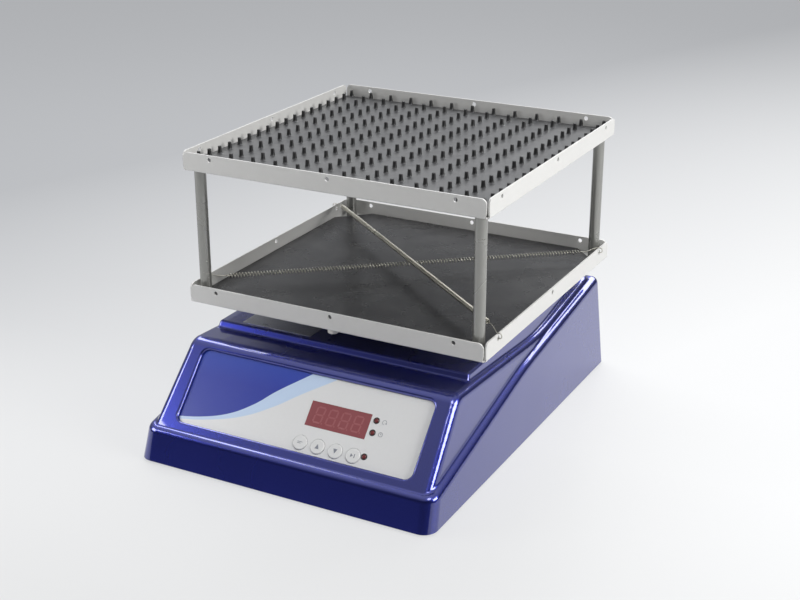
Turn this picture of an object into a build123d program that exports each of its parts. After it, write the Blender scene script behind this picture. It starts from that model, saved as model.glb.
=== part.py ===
from build123d import *
from math import acos, atan2, cos, dist, pi, radians, sin, sqrt, tan
import os

# A reciprocating shaker with a two-tier platform, in millimetres.
# X runs left to right, Y front to back and Z up. The origin is on the surface that the
# shaker stands on, under the middle of its housing.

# Housing: a drafted skirt, a sloped console and a raised deck
housing_w = 298.0
housing_d = 403.0
housing_corner_r = 13.0
rear_corner_r = 7.5
rim_z = 2.0
wall = 3.0
side_draft = 3.5
front_draft = 18.0
rear_draft = 6.0
ledge_front_z = 28.6
ledge_front_angle = 12.7
ledge_rear_angle = 7.6
ledge_blend_r = 300.0
ledge_edge_r = 7.0
console_inset = 7.5
console_crest_z = 96.5
console_dip_y = 50.0
console_dip_rise = 5.8
console_rear_rise = 6.1
console_edge_r = 8.0
crest_r = 16.0
hump_inset = 18.5
hump_draft = 8.0
hump_set = 106.3
hump_foot_z = 94.7
hump_ramp_angle = 60.0
hump_edge_r = 3.0
deck_z = 101.0
cove_r = 3.5

# Sloped panel on the console, with its overlay
panel_set = 46.45
panel_z = 62.15
panel_angle = 47.1
panel_w = 238.2
panel_h = 70.9
panel_corner_r = 7.0
frame_height = 3.0
frame_edge_r = 2.4
overlay_t = 0.8
panel_floor_t = 2.5
fit_gap = 0.2

# Display, lamps and keys, placed on the panel from its middle
window_x = 35.3
window_y = 0.85
window_w = 59.6
window_h = 22.8
lamp_d = 4.0
lamp_rise = 0.8
lamp_spots = [(70.6, 7.8), (70.6, -3.3), (70.6, -25.2)]
key_y = -26.8
key_pitch = 17.6
key_first_x = 7.6
key_names = ["key_select", "key_up", "key_down", "key_start"]
key_d = 13.4
key_rise = 0.9
key_travel = 0.7
key_flange_w = 0.8
key_flange_t = 1.0
board_w = 124.0
board_h = 56.0
board_t = 1.6
board_x = 40.0
board_y = -6.0
board_depth = 9.3
board_standoff_d = 6.0
switch_w = 6.0
switch_h = 3.3

# Blank plate on the deck
blank_in = 79.0
blank_set = 20.4
blank_w = 74.0
blank_h = 24.0
blank_t = 0.8
plate_recess = 0.4

# Base plate and feet
plate_t = 2.0
plate_z = 4.0
plate_gap = 0.5
foot_d = 22.0
foot_in_x = 31.0
foot_in_y = 33.5
vent_x = -32.0
vent_in = 51.5
vent_count = 6
boss_d = 9.0
boss_in_x = 13.0
boss_in_front = 29.5
boss_in_rear = 25.5
boss_h = 18.0
screw_d = 4.0
screw_head_d = 7.6
screw_head_h = 2.2

# Rear panel with the mains parts
rear_panel_w = 140.0
rear_panel_h = 46.0
rear_panel_x = -52.0
rear_panel_z = 46.0
rear_panel_t = 1.5
inlet_x = -82.0
inlet_w = 27.0
inlet_h = 20.0
inlet_depth = 24.0
rocker_x = -38.0
rocker_w = 13.0
rocker_h = 19.0
rocker_tilt = 9.0
rocker_depth = 18.0
rocker_pivot_depth = 2.0
rocker_pivot_d = 2.4
rocker_swing_r = 8.2
fuse_x = -8.0
fuse_d = 12.0

# Platform
stroke = 20.0
platform_y = 41.0
tray_w = 303.0
tray_d = 296.0
tray_t = 1.5
flange_h = 17.1
flange_corner_r = 5.0
flange_gap = 0.5
flange_hole_d = 4.2
flange_hole_drop = 4.3
flange_hole_pitch = 121.5
lower_tray_z = 121.4
tier_pitch = 127.2
post_d = 10.8
post_inset = 11.5
mat_gap = 0.5
lower_mat_t = 3.0
mat_corner_cut = 30.0
peg_mat_t = 3.6
peg_mat_corner_cut = 5.0
peg_h = 7.2
peg_base_d = 4.4
peg_tip_d = 3.0
peg_pitch_x = 23.6
peg_pitch_y = 16.33
pad_in = 6.0
pad_d = 10.0
pad_t = 4.0

tray_screw_head_d = 7.2
peg_front_in = 13.2

# Springs across the lower tray
wire_d = 0.8
coil_d = 4.8
upper_turns = 54
lower_turns = 44
coil_lead = 20.0
coil_bend = 5.0
hook_r = 2.55
hook_rise = 0.6
spring_upper_z = 142.2
spring_lower_z = 136.2

# Carriage on its two guide rods
rod_d = 10.0
rod_z = 74.0
rod_spread = 68.0
rod_support_in = 34.0
rod_support_w = 14.0
rod_support_d = 26.0
carriage_w = 164.0
carriage_d = 174.0
carriage_t = 4.0
carriage_z = 87.0
bushing_d = 19.0
bushing_l = 29.0
block_w = 32.0
block_d = 30.0
block_drop = 25.0
block_x = 52.0
column_d = 14.0
column_x = 60.0
column_y = 45.0
slot_gap = 1.5
seal_t = 1.5
seal_lip = 2.0
seal_flange = 3.0

# Crank, rod, belt and motor
run_gap = 0.05
air_gap = 0.3
crank_x = -40.0
crank_r = stroke / 2
con_rod_l = 80.0
con_rod_t = 8.0
con_rod_w = 12.0
eye_d = 20.0
wrist_d = 8.0
crank_pin_d = 8.0
crank_disc_d = 46.0
crank_disc_t = 8.0
crank_shaft_d = 10.0
pulley_t = 12.0
pulley_rim_t = 2.0
pulley_rim_h = 4.0
crank_pulley_r = 36.0
motor_pulley_r = 9.0
belt_t = 2.0
motor_offset = 86.0
motor_d = 60.0
motor_h = 26.0
motor_shaft_d = 8.0
bracket_t = 3.0
bracket_w = 92.0
bracket_d = 70.0
bracket_foot = 12.0
motor_hub_d = 22.0
motor_bolt_r = 21.0
bearing_d = 26.0
bearing_t = 8.0
barrel_d = 40.0
barrel_flange_d = 76.0
barrel_flange_t = 6.0
supply_w = 106.0
supply_d = 52.0
supply_h = 32.0
supply_x = 50.0
supply_in = 43.5
supply_vent_in = 20.0
terminal_h = 12.0
terminal_d = 9.0

# Derived places
front_y = -housing_d / 2
ledge_z = ledge_front_z - front_y * tan(radians(ledge_front_angle))
rear_y = housing_d / 2
hump_front_y = front_y + hump_set
panel_y = front_y + panel_set
blank_x = blank_in - housing_w / 2
blank_y = hump_front_y + blank_set
foot_x = housing_w / 2 - foot_in_x
foot_y = housing_d / 2 - foot_in_y
vent_y = rear_y - vent_in
boss_x = housing_w / 2 - boss_in_x
boss_spots_y = [front_y + boss_in_front, 0.0, rear_y - boss_in_rear]
rod_support_x = housing_w / 2 - rod_support_in
supply_y = rear_y - supply_in
pad_y = platform_y - tray_d / 2 + pad_in
plate_top = plate_z + plate_t
upper_tray_z = lower_tray_z + tier_pitch
mat_half_x = tray_w / 2 - tray_t - mat_gap
mat_half_y = tray_d / 2 - tray_t - mat_gap
peg_first_y = peg_front_in - tray_d / 2
peg_columns = 1 + 2 * int((mat_half_x - peg_base_d / 2) / peg_pitch_x)
peg_rows = 1 + int((mat_half_y - peg_base_d / 2 - peg_first_y) / peg_pitch_y)
post_x = tray_w / 2 - post_inset
post_y = tray_d / 2 - post_inset
post_h = tier_pitch - tray_t
crank_disc_z = rod_z - con_rod_t / 2 - air_gap - 5.7 - crank_disc_t
con_rod_z = rod_z - con_rod_t / 2
pulley_z = crank_disc_z - 4.0 - pulley_t
barrel_top = pulley_z - 3.0
wrist_x = crank_x + con_rod_l
crank_pin_x = crank_x + crank_r**2 / (2 * con_rod_l)
crank_pin_y = platform_y + sqrt(crank_r**2 - (crank_pin_x - crank_x) ** 2)
motor_y = platform_y - motor_offset
motor_top = pulley_z - 1.0 - bracket_t
key_xs = [key_first_x + i * key_pitch for i in range(len(key_names))]
recess = frame_height + overlay_t
floor_low = overlay_t + panel_floor_t
key_flange_low = floor_low + air_gap + key_flange_t
key_stem_low = board_depth - switch_h - key_travel - air_gap
rod_ys = [platform_y - rod_spread, platform_y + rod_spread]
support_spots = [(x, y) for x in (-rod_support_x, rod_support_x) for y in rod_ys]
support_screw_spots = [(x, y + dy) for x, y in support_spots for dy in (-8, 8)]
tower_spots = [(crank_x + dx, platform_y + dy) for dx in (-24, 24) for dy in (-24, 24)]
bracket_leg_x = bracket_w / 2 + bracket_foot / 2
bracket_spots = [(crank_x + dx, motor_y + dy) for dx in (-bracket_leg_x, bracket_leg_x) for dy in (-24, 24)]
supply_spots = [(supply_x + dx, supply_y + dy) for dx in (-34, 34) for dy in (-18, 18)]
block_screw_spots = [(x, y + dy) for x in (-block_x, block_x) for y in rod_ys for dy in (-12, 12)]
panel_screw_spots = [(-rear_panel_x + dx, dy) for dx in (-66, 66) for dy in (-18, 18)]
frame_screw_spots = support_screw_spots + tower_spots + bracket_spots + supply_spots
upright = (Align.CENTER, Align.CENTER, Align.MIN)
hanging = (Align.CENTER, Align.CENTER, Align.MAX)

panel_plane = Plane(
    origin=(0, panel_y, panel_z),
    x_dir=(1, 0, 0),
    z_dir=(0, -sin(radians(panel_angle)), cos(radians(panel_angle))),
)
rear_plane = Plane(
    origin=(0, rear_y - (rear_panel_z - rim_z) * tan(radians(rear_draft)), rear_panel_z),
    x_dir=(-1, 0, 0),
    z_dir=(0, cos(radians(rear_draft)), sin(radians(rear_draft))),
)
panel_axis = Axis((0, panel_y, panel_z), tuple(panel_plane.z_dir))
rear_axis = Axis(tuple(rear_plane.origin), tuple(rear_plane.z_dir))

os.makedirs("parts", exist_ok=True)


def save(piece, name):
    piece.label = name
    export_step(piece, f"parts/{name}.step")


def drafted_block(half_w, y_front, y_rear, z_low, z_high, drafts, front_r, rear_r):
    # a rounded block whose sides, front and rear lean in by their own draft angles
    rise = z_high - z_low
    side, front, rear = [rise * tan(radians(angle)) for angle in drafts]
    with BuildPart() as block:
        for z, s, f, r in [(z_low, 0, 0, 0), (z_high, side, front, rear)]:
            with BuildSketch(Plane.XY.offset(z)) as level:
                with Locations((0, (y_front + f + y_rear - r) / 2)):
                    Rectangle(2 * (half_w - s), y_rear - r - y_front - f)
                fillet(level.vertices().group_by(Axis.Y)[0], front_r)
                fillet(level.vertices().group_by(Axis.Y)[-1], rear_r)
        loft(ruled=True)
    return block.part


def ledge_height(y):
    angle = ledge_front_angle if y < 0 else ledge_rear_angle
    return ledge_z + y * tan(radians(angle))


def meets_inward(faces, edge):
    # whether the two faces at an edge form a hollow corner
    sides = [f for f in faces if any(edge.is_same(e) for e in f.edges())]
    if len(sides) != 2:
        return False
    middle = edge @ 0.5
    first, second = [f.normal_at(middle) for f in sides]
    step = first.cross(edge % 0.5) * 0.5
    if sides[0].distance_to(middle + step) > 0.02:
        step = step * -1
    return step.dot(second) > 0.07


def housing_form(inset, slope_inset, rounded):
    # skirt, console and hump as one solid; with an inset it is the hollow inside them
    bottom = rim_z - inset
    top = deck_z + 20
    radius = housing_corner_r - inset
    rear_radius = rear_corner_r - inset
    reach = 0.6 * housing_d
    skirt_block = drafted_block(
        housing_w / 2 - inset,
        front_y + inset,
        rear_y - inset,
        bottom,
        top,
        (side_draft, front_draft, rear_draft),
        radius,
        rear_radius,
    )
    with BuildPart() as skirt:
        add(skirt_block)
        with BuildSketch(Plane.YZ) as skirt_side:
            with BuildLine():
                Polyline(
                    (-reach, bottom - 1),
                    (reach, bottom - 1),
                    (reach, ledge_height(reach) - inset),
                    (0, ledge_z - inset),
                    (-reach, ledge_height(-reach) - inset),
                    close=True,
                )
            make_face()
            bend = skirt_side.vertices().sort_by_distance((0, 0, ledge_z - inset))[0]
            fillet(bend, ledge_blend_r)
        extrude(amount=housing_w, both=True, mode=Mode.INTERSECT)
        if rounded:
            crown = skirt.faces().filter_by(lambda f: f.normal_at().Z > 0.9)
            rim = [e for e in crown.edges() if abs(e.center().X) > 5 or abs(e.center().Y) > 150]
            fillet(rim, ledge_edge_r)

    console_low = ledge_height(front_y) - 1.6
    console_half = housing_w / 2 - console_inset - inset
    console_block = drafted_block(
        console_half,
        front_y - 20,
        rear_y - console_inset - inset - 2,
        console_low,
        top,
        (side_draft, 0, rear_draft),
        radius,
        radius,
    )
    slope = tan(radians(panel_angle))
    lift = (frame_height - slope_inset) / cos(radians(panel_angle))
    crest = console_crest_z - inset
    dip_z = ledge_height(console_dip_y) + console_dip_rise - inset
    console_rear_z = ledge_height(rear_y) + console_rear_rise - inset
    crest_y = panel_y + (crest - panel_z - lift) / slope
    foot_y = panel_y + (console_low - panel_z - lift) / slope
    with BuildPart() as console:
        add(console_block)
        with BuildSketch(Plane.YZ) as console_side:
            with BuildLine():
                Polyline(
                    (foot_y, console_low),
                    (rear_y, console_low),
                    (rear_y, console_rear_z),
                    (console_dip_y, dip_z),
                    (crest_y, crest),
                    close=True,
                )
            make_face()
            dip = console_side.vertices().sort_by_distance((0, console_dip_y, dip_z))[0]
            fillet(dip, ledge_blend_r)
        extrude(amount=housing_w, both=True, mode=Mode.INTERSECT)
        if rounded:
            crest_edge = console.edges().sort_by_distance((0, crest_y, crest))[0]
            fillet(crest_edge, crest_r)
            crown = console.faces().filter_by(lambda f: f.normal_at().Z > 0.6)
            rim = [
                e
                for e in crown.edges()
                if e.center().Z > console_low + 1 and (abs(e.center().X) > 5 or e.center().Y > 150)
            ]
            fillet(rim, console_edge_r)

    hump_low = hump_foot_z - 20
    hump_block = drafted_block(
        housing_w / 2 - hump_inset - inset + 20 * tan(radians(hump_draft)),
        hump_front_y - 30,
        rear_y - hump_inset - inset,
        hump_low,
        top,
        (hump_draft, 0, hump_draft),
        radius - 2,
        radius - 2,
    )
    ramp = tan(radians(hump_ramp_angle))
    ramp_lift = -inset / cos(radians(hump_ramp_angle))
    with BuildPart() as hump:
        add(hump_block)
        with BuildSketch(Plane.YZ):
            with BuildLine():
                Polyline(
                    (hump_front_y + (hump_low - hump_foot_z - ramp_lift) / ramp, hump_low),
                    (rear_y, hump_low),
                    (rear_y, deck_z - inset),
                    (hump_front_y + (deck_z - inset - hump_foot_z - ramp_lift) / ramp, deck_z - inset),
                    close=True,
                )
            make_face()
        extrude(amount=housing_w, both=True, mode=Mode.INTERSECT)
        if rounded:
            crown = hump.faces().filter_by(lambda f: f.normal_at().Z > 0.4)
            rim = [e for e in crown.edges() if e.center().Z > hump_low + 1]
            fillet(rim, hump_edge_r)

    with BuildPart() as form:
        add(skirt.part)
        add(console.part)
        add(hump.part)
        if rounded:
            fillet([e for e in form.edges() if meets_inward(form.faces(), e)], cove_r)
    return form.part


def holds(hole_d, gap=0.05):
    # the radius of a piece that sits in a hole, a hair under it
    return hole_d / 2 - gap


# Housing shell with its panel recess, deck slots, rear opening and screw bosses
outer_form = housing_form(0.0, 0.0, True)
inner_form = housing_form(wall, recess + panel_floor_t, False)
slot_w = column_d + 2 * slot_gap + 2 * seal_lip
slot_l = stroke + slot_w
with BuildPart() as housing:
    add(outer_form)
    add(inner_form, mode=Mode.SUBTRACT)
    with BuildSketch(panel_plane.offset(-overlay_t)):
        RectangleRounded(panel_w, panel_h, panel_corner_r)
    extrude(amount=30, mode=Mode.SUBTRACT)
    lip = [
        e
        for e in housing.edges()
        if abs(panel_plane.to_local_coords(e.center()).Z - frame_height) < 0.3
        and abs(panel_plane.to_local_coords(e.center()).X) < panel_w / 2 + 0.5
        and abs(panel_plane.to_local_coords(e.center()).Y) < panel_h / 2 + 0.5
    ]
    fillet(lip, frame_edge_r)
    with BuildSketch(panel_plane.offset(-overlay_t)):
        with Locations((window_x, window_y)):
            Rectangle(window_w - 4, window_h - 4)
        with Locations(*lamp_spots):
            Circle(lamp_d / 2 + fit_gap)
        with Locations(*[(x, key_y) for x in key_xs]):
            Circle(key_d / 2 + air_gap)
    extrude(amount=-panel_floor_t - 2, mode=Mode.SUBTRACT)
    with BuildSketch(Plane.XY.offset(deck_z - plate_recess)):
        with Locations((blank_x, blank_y)):
            Rectangle(blank_w, blank_h)
    extrude(amount=10, mode=Mode.SUBTRACT)
    with BuildSketch(Plane.XY.offset(deck_z - wall - 1)):
        with Locations((0, platform_y)):
            with GridLocations(2 * column_x, 2 * column_y, 2, 2):
                SlotOverall(slot_l, slot_w)
    extrude(amount=wall + 2, mode=Mode.SUBTRACT)
    with BuildSketch(rear_plane):
        with Locations((-rear_panel_x, 0)):
            Rectangle(rear_panel_w, rear_panel_h)
    extrude(amount=-rear_panel_t, mode=Mode.SUBTRACT)
    with BuildSketch(rear_plane):
        with Locations((-rear_panel_x, 0)):
            Rectangle(rear_panel_w - 14, rear_panel_h - 8)
    extrude(amount=-wall - 3, mode=Mode.SUBTRACT)
    for y in boss_spots_y:
        for side in (-1, 1):
            wall_x = housing_w / 2 - wall / 2 - boss_h * tan(radians(side_draft))
            with BuildSketch(Plane.XY.offset(plate_top)):
                with Locations((side * boss_x, y)):
                    Circle(boss_d / 2)
                with Locations((side * (boss_x + wall_x) / 2, y)):
                    Rectangle(wall_x - boss_x, wall)
            extrude(amount=boss_h)
            with Locations((side * boss_x, y, plate_top)):
                Cylinder(screw_d / 2, boss_h - 2, align=upright, mode=Mode.SUBTRACT)
save(housing.part, "housing")

# Panel overlay with its window, lamps and keys
with BuildPart() as panel_overlay:
    with BuildSketch(panel_plane.offset(-overlay_t)):
        RectangleRounded(panel_w - fit_gap, panel_h - fit_gap, panel_corner_r)
        with Locations((window_x, window_y)):
            Rectangle(window_w + fit_gap, window_h + fit_gap, mode=Mode.SUBTRACT)
        with Locations(*lamp_spots):
            Circle(lamp_d / 2 + fit_gap, mode=Mode.SUBTRACT)
        with Locations(*[(x, key_y) for x in key_xs]):
            Circle(key_d / 2 + air_gap, mode=Mode.SUBTRACT)
    extrude(amount=overlay_t)
save(panel_overlay.part, "panel_overlay")

with BuildPart() as display_window:
    with BuildSketch(panel_plane.offset(-overlay_t)):
        with Locations((window_x, window_y)):
            Rectangle(window_w, window_h)
    extrude(amount=overlay_t)
save(display_window.part, "display_window")

for name, x in zip(key_names, key_xs):
    with BuildPart() as key:
        with BuildSketch(panel_plane.offset(-key_flange_low)):
            with Locations((x, key_y)):
                Circle(key_d / 2 + key_flange_w)
        extrude(amount=key_flange_t)
        with BuildSketch(panel_plane.offset(-floor_low - air_gap)):
            with Locations((x, key_y)):
                Circle(key_d / 2)
        extrude(amount=floor_low + air_gap + key_rise)
        fillet(key.edges().sort_by(panel_axis)[-1], key_rise)
        with BuildSketch(panel_plane.offset(-key_stem_low)):
            with Locations((x, key_y)):
                Circle(2.0)
        extrude(amount=key_stem_low - key_flange_low)
    save(key.part, name)

with BuildPart() as control_board:
    with BuildSketch(panel_plane.offset(-board_depth - board_t)):
        with Locations((board_x, board_y)):
            Rectangle(board_w, board_h)
            with GridLocations(board_w - 10, board_h - 8, 2, 2):
                Circle(1.6, mode=Mode.SUBTRACT)
    extrude(amount=board_t)
save(control_board.part, "control_board")

with BuildPart() as board_standoffs:
    with BuildSketch(panel_plane.offset(-board_depth)):
        with Locations((board_x, board_y)):
            with GridLocations(board_w - 10, board_h - 8, 2, 2):
                Circle(board_standoff_d / 2)
                Circle(1.6, mode=Mode.SUBTRACT)
    extrude(amount=board_depth - floor_low)
save(board_standoffs.part, "board_standoffs")

with BuildPart() as board_screws:
    with BuildSketch(panel_plane.offset(-board_depth - board_t - 1.8)):
        with Locations((board_x, board_y)):
            with GridLocations(board_w - 10, board_h - 8, 2, 2):
                Circle(2.8)
    extrude(amount=1.8)
    with BuildSketch(panel_plane.offset(-board_depth - board_t)):
        with Locations((board_x, board_y)):
            with GridLocations(board_w - 10, board_h - 8, 2, 2):
                Circle(1.55)
    extrude(amount=board_t + 4)
save(board_screws.part, "board_screws")

with BuildPart() as display_module:
    with BuildSketch(panel_plane.offset(-board_depth)):
        with Locations((window_x, window_y)):
            Rectangle(window_w + 2, window_h + 2)
    extrude(amount=board_depth - floor_low)
save(display_module.part, "display_module")

with BuildPart() as key_switches:
    with BuildSketch(panel_plane.offset(-board_depth)):
        with Locations(*[(x, key_y) for x in key_xs]):
            Rectangle(switch_w, switch_w)
    extrude(amount=switch_h - 0.6)
    with BuildSketch(panel_plane.offset(-board_depth + switch_h - 0.6)):
        with Locations(*[(x, key_y) for x in key_xs]):
            Circle(1.75)
    extrude(amount=0.6)
save(key_switches.part, "key_switches")

with BuildPart() as indicator_lamps:
    with BuildSketch(panel_plane.offset(-board_depth)):
        with Locations(*lamp_spots):
            Circle(lamp_d / 2)
    extrude(amount=board_depth + lamp_rise)
    tips = indicator_lamps.edges().group_by(panel_axis)[-1]
    fillet(tips, lamp_rise)
save(indicator_lamps.part, "indicator_lamps")

with BuildPart() as blank_plate:
    with BuildSketch(Plane.XY.offset(deck_z - plate_recess)):
        with Locations((blank_x, blank_y)):
            RectangleRounded(blank_w - fit_gap, blank_h - fit_gap, 1)
    extrude(amount=blank_t)
save(blank_plate.part, "blank_plate")

# Base plate, its feet and the screws that hold the housing
with BuildPart() as base_plate:
    plate_front = front_y + wall + (plate_top - rim_z + wall) * tan(radians(front_draft)) + plate_gap
    plate_rear = rear_y - wall - (plate_top - rim_z + wall) * tan(radians(rear_draft)) - plate_gap
    plate_half = housing_w / 2 - wall - (plate_top - rim_z + wall) * tan(radians(side_draft)) - plate_gap
    with BuildSketch(Plane.XY.offset(plate_z)):
        with Locations((0, (plate_front + plate_rear) / 2)):
            RectangleRounded(2 * plate_half, plate_rear - plate_front, housing_corner_r - wall)
        for y in boss_spots_y:
            with Locations((-boss_x, y), (boss_x, y)):
                Circle(screw_d / 2 + fit_gap, mode=Mode.SUBTRACT)
        with Locations(*frame_screw_spots):
            Circle(screw_d / 2 + fit_gap, mode=Mode.SUBTRACT)
        with Locations((vent_x, vent_y)):
            with GridLocations(10, 0, vent_count, 1):
                SlotOverall(30, 4, rotation=90, mode=Mode.SUBTRACT)
    extrude(amount=plate_t)
save(base_plate.part, "base_plate")

with BuildPart() as feet:
    with Locations((0, 0, 0)):
        with GridLocations(2 * foot_x, 2 * foot_y, 2, 2):
            Cone(foot_d / 2 - 1, foot_d / 2, plate_z, align=upright)
save(feet.part, "feet")

with BuildPart() as housing_screws:
    for y in boss_spots_y:
        with Locations((-boss_x, y, plate_z), (boss_x, y, plate_z)):
            Cylinder(screw_head_d / 2, screw_head_h, align=hanging)
            Cylinder(holds(screw_d), plate_t + boss_h - 4, align=upright)
save(housing_screws.part, "housing_screws")

with BuildPart() as frame_screws:
    with Locations(*[(x, y, plate_z) for x, y in frame_screw_spots]):
        Cylinder(screw_head_d / 2, screw_head_h, align=hanging)
        Cylinder(holds(screw_d), plate_t + 4.5, align=upright)
save(frame_screws.part, "frame_screws")

# Guide rods on four supports
with BuildPart() as rod_supports:
    for side in (-1, 1):
        with BuildSketch(Plane.YZ.offset(side * rod_support_x - rod_support_w / 2)):
            for y in rod_ys:
                with Locations((y, (plate_top + rod_z) / 2)):
                    Rectangle(rod_support_d, rod_z - plate_top)
                with Locations((y, rod_z)):
                    Circle(rod_support_d / 2)
                    Circle(rod_d / 2, mode=Mode.SUBTRACT)
        extrude(amount=rod_support_w)
    with Locations(*[(x, y, plate_top) for x, y in support_screw_spots]):
        Cylinder(screw_d / 2, 8, align=upright, mode=Mode.SUBTRACT)
save(rod_supports.part, "rod_supports")

with BuildPart() as guide_rods:
    with BuildSketch(Plane.YZ):
        for y in rod_ys:
            with Locations((y, rod_z)):
                Circle(rod_d / 2)
    extrude(amount=rod_support_x + rod_support_w / 2 + 1, both=True)
    chamfer(guide_rods.edges().group_by(Axis.X)[-1], 0.6)
    chamfer(guide_rods.edges().group_by(Axis.X)[0], 0.6)
save(guide_rods.part, "guide_rods")

# Crank on its bearings
barrel_h = barrel_top - plate_top
with BuildPart() as bearing_housing:
    with Locations((crank_x, platform_y, plate_top)):
        Cylinder(barrel_flange_d / 2, barrel_flange_t, align=upright)
        Cylinder(barrel_d / 2, barrel_h, align=upright)
        Cylinder(bearing_d / 2 - 2.5, barrel_h, align=upright, mode=Mode.SUBTRACT)
        Cylinder(bearing_d / 2, barrel_flange_t + bearing_t, align=upright, mode=Mode.SUBTRACT)
    with Locations((crank_x, platform_y, barrel_top)):
        Cylinder(bearing_d / 2, bearing_t, align=hanging, mode=Mode.SUBTRACT)
    with Locations(*[(x, y, plate_top) for x, y in tower_spots]):
        Cylinder(screw_d / 2, barrel_flange_t, align=upright, mode=Mode.SUBTRACT)
save(bearing_housing.part, "bearing_housing")

with BuildPart() as crank_bearings:
    bearing_lows = [plate_top + barrel_flange_t, barrel_top - bearing_t]
    for z in bearing_lows:
        with Locations((crank_x, platform_y, z)):
            Cylinder(bearing_d / 2, bearing_t, align=upright)
            Cylinder(crank_shaft_d / 2 + run_gap, bearing_t, align=upright, mode=Mode.SUBTRACT)
        for low in (z, z + bearing_t - 0.5):
            with Locations((crank_x, platform_y, low)):
                Cylinder(bearing_d / 2 - 2.2, 0.5, align=upright, mode=Mode.SUBTRACT)
                Cylinder(crank_shaft_d / 2 + 2, 0.5, align=upright)
                Cylinder(crank_shaft_d / 2 + run_gap, 0.5, align=upright, mode=Mode.SUBTRACT)
save(crank_bearings.part, "crank_bearings")

with BuildPart() as crank_shaft:
    with Locations((crank_x, platform_y, plate_top + barrel_flange_t - 4)):
        Cylinder(crank_shaft_d / 2, crank_disc_z - plate_top - barrel_flange_t + 4, align=upright)
    chamfer(crank_shaft.edges().group_by(Axis.Z)[0], 0.6)
    with Locations((crank_x, platform_y, plate_top + barrel_flange_t - air_gap)):
        Cylinder(crank_shaft_d / 2 + 2, 2.5, align=hanging)
save(crank_shaft.part, "crank_shaft")


def flanged_pulley(x, y, belt_r, bore_r, hub_r):
    # a wheel with a rim each side of its belt
    with BuildPart() as wheel:
        with Locations((x, y, pulley_z)):
            Cylinder(belt_r, pulley_t, align=upright)
            Cylinder(belt_r + pulley_rim_h, pulley_rim_t, align=upright)
        with Locations((x, y, pulley_z + pulley_t)):
            Cylinder(belt_r + pulley_rim_h, pulley_rim_t, align=hanging)
            if belt_r > 20:
                Cylinder(belt_r - 4, 4, align=hanging, mode=Mode.SUBTRACT)
                Cylinder(hub_r, 4, align=hanging)
        if belt_r > 20:
            with Locations((x, y, pulley_z)):
                Cylinder(belt_r - 4, 4, align=upright, mode=Mode.SUBTRACT)
                Cylinder(hub_r, 4, align=upright)
                with PolarLocations((belt_r + hub_r - 4) / 2, 5):
                    Cylinder(4.5, pulley_t, align=upright, mode=Mode.SUBTRACT)
        with Locations((x, y, pulley_z)):
            Cylinder(bore_r, pulley_t, align=upright, mode=Mode.SUBTRACT)
    return wheel.part


crank_pulley = flanged_pulley(crank_x, platform_y, crank_pulley_r, crank_shaft_d / 2, 11)
save(crank_pulley, "crank_pulley")

with BuildPart() as crank_disc:
    with Locations((crank_x, platform_y, crank_disc_z)):
        Cylinder(crank_disc_d / 2, crank_disc_t, align=upright)
    with Locations((crank_pin_x, crank_pin_y, crank_disc_z + crank_disc_t - 4)):
        Cylinder(crank_pin_d / 2, 4, align=upright, mode=Mode.SUBTRACT)
    chamfer(crank_disc.edges().filter_by(lambda e: e.length > 3 * crank_disc_d), 0.8)
save(crank_disc.part, "crank_disc")

with BuildPart() as crank_pin:
    with Locations((crank_pin_x, crank_pin_y, crank_disc_z + crank_disc_t - 4)):
        Cylinder(crank_pin_d / 2, con_rod_z - air_gap - crank_disc_z - crank_disc_t + 4, align=upright)
save(crank_pin.part, "crank_pin")

# Connecting rod and its wrist pin
with BuildPart() as connecting_rod:
    rod_mid = ((crank_pin_x + wrist_x) / 2, (crank_pin_y + platform_y) / 2)
    rod_angle = atan2(platform_y - crank_pin_y, wrist_x - crank_pin_x) * 180 / pi
    with BuildSketch(Plane.XY.offset(con_rod_z)):
        with Locations(rod_mid):
            Rectangle(con_rod_l, con_rod_w, rotation=rod_angle)
        with Locations((crank_pin_x, crank_pin_y), (wrist_x, platform_y)):
            Circle(eye_d / 2)
        with Locations((crank_pin_x, crank_pin_y)):
            Circle(crank_pin_d / 2 + run_gap, mode=Mode.SUBTRACT)
        with Locations((wrist_x, platform_y)):
            Circle(wrist_d / 2 + run_gap, mode=Mode.SUBTRACT)
    extrude(amount=con_rod_t)
    with BuildSketch(Plane.XY.offset(con_rod_z + con_rod_t - 1.5)):
        with Locations(rod_mid):
            SlotOverall(con_rod_l - eye_d - 6, con_rod_w - 5, rotation=rod_angle)
    extrude(amount=1.5, mode=Mode.SUBTRACT)
save(connecting_rod.part, "connecting_rod")

with BuildPart() as wrist_pin:
    with Locations((wrist_x, platform_y, con_rod_z - 2.4)):
        Cylinder(wrist_d / 2, carriage_z + carriage_t - con_rod_z + 2.4, align=upright)
    chamfer(wrist_pin.edges().group_by(Axis.Z)[0], 0.5)
save(wrist_pin.part, "wrist_pin")

with BuildPart() as wrist_clip:
    with Locations((wrist_x, platform_y, con_rod_z - air_gap)):
        Cylinder(wrist_d / 2 + 2.2, 1, align=hanging)
        Cylinder(wrist_d / 2, 1, align=hanging, mode=Mode.SUBTRACT)
save(wrist_clip.part, "wrist_clip")

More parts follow.
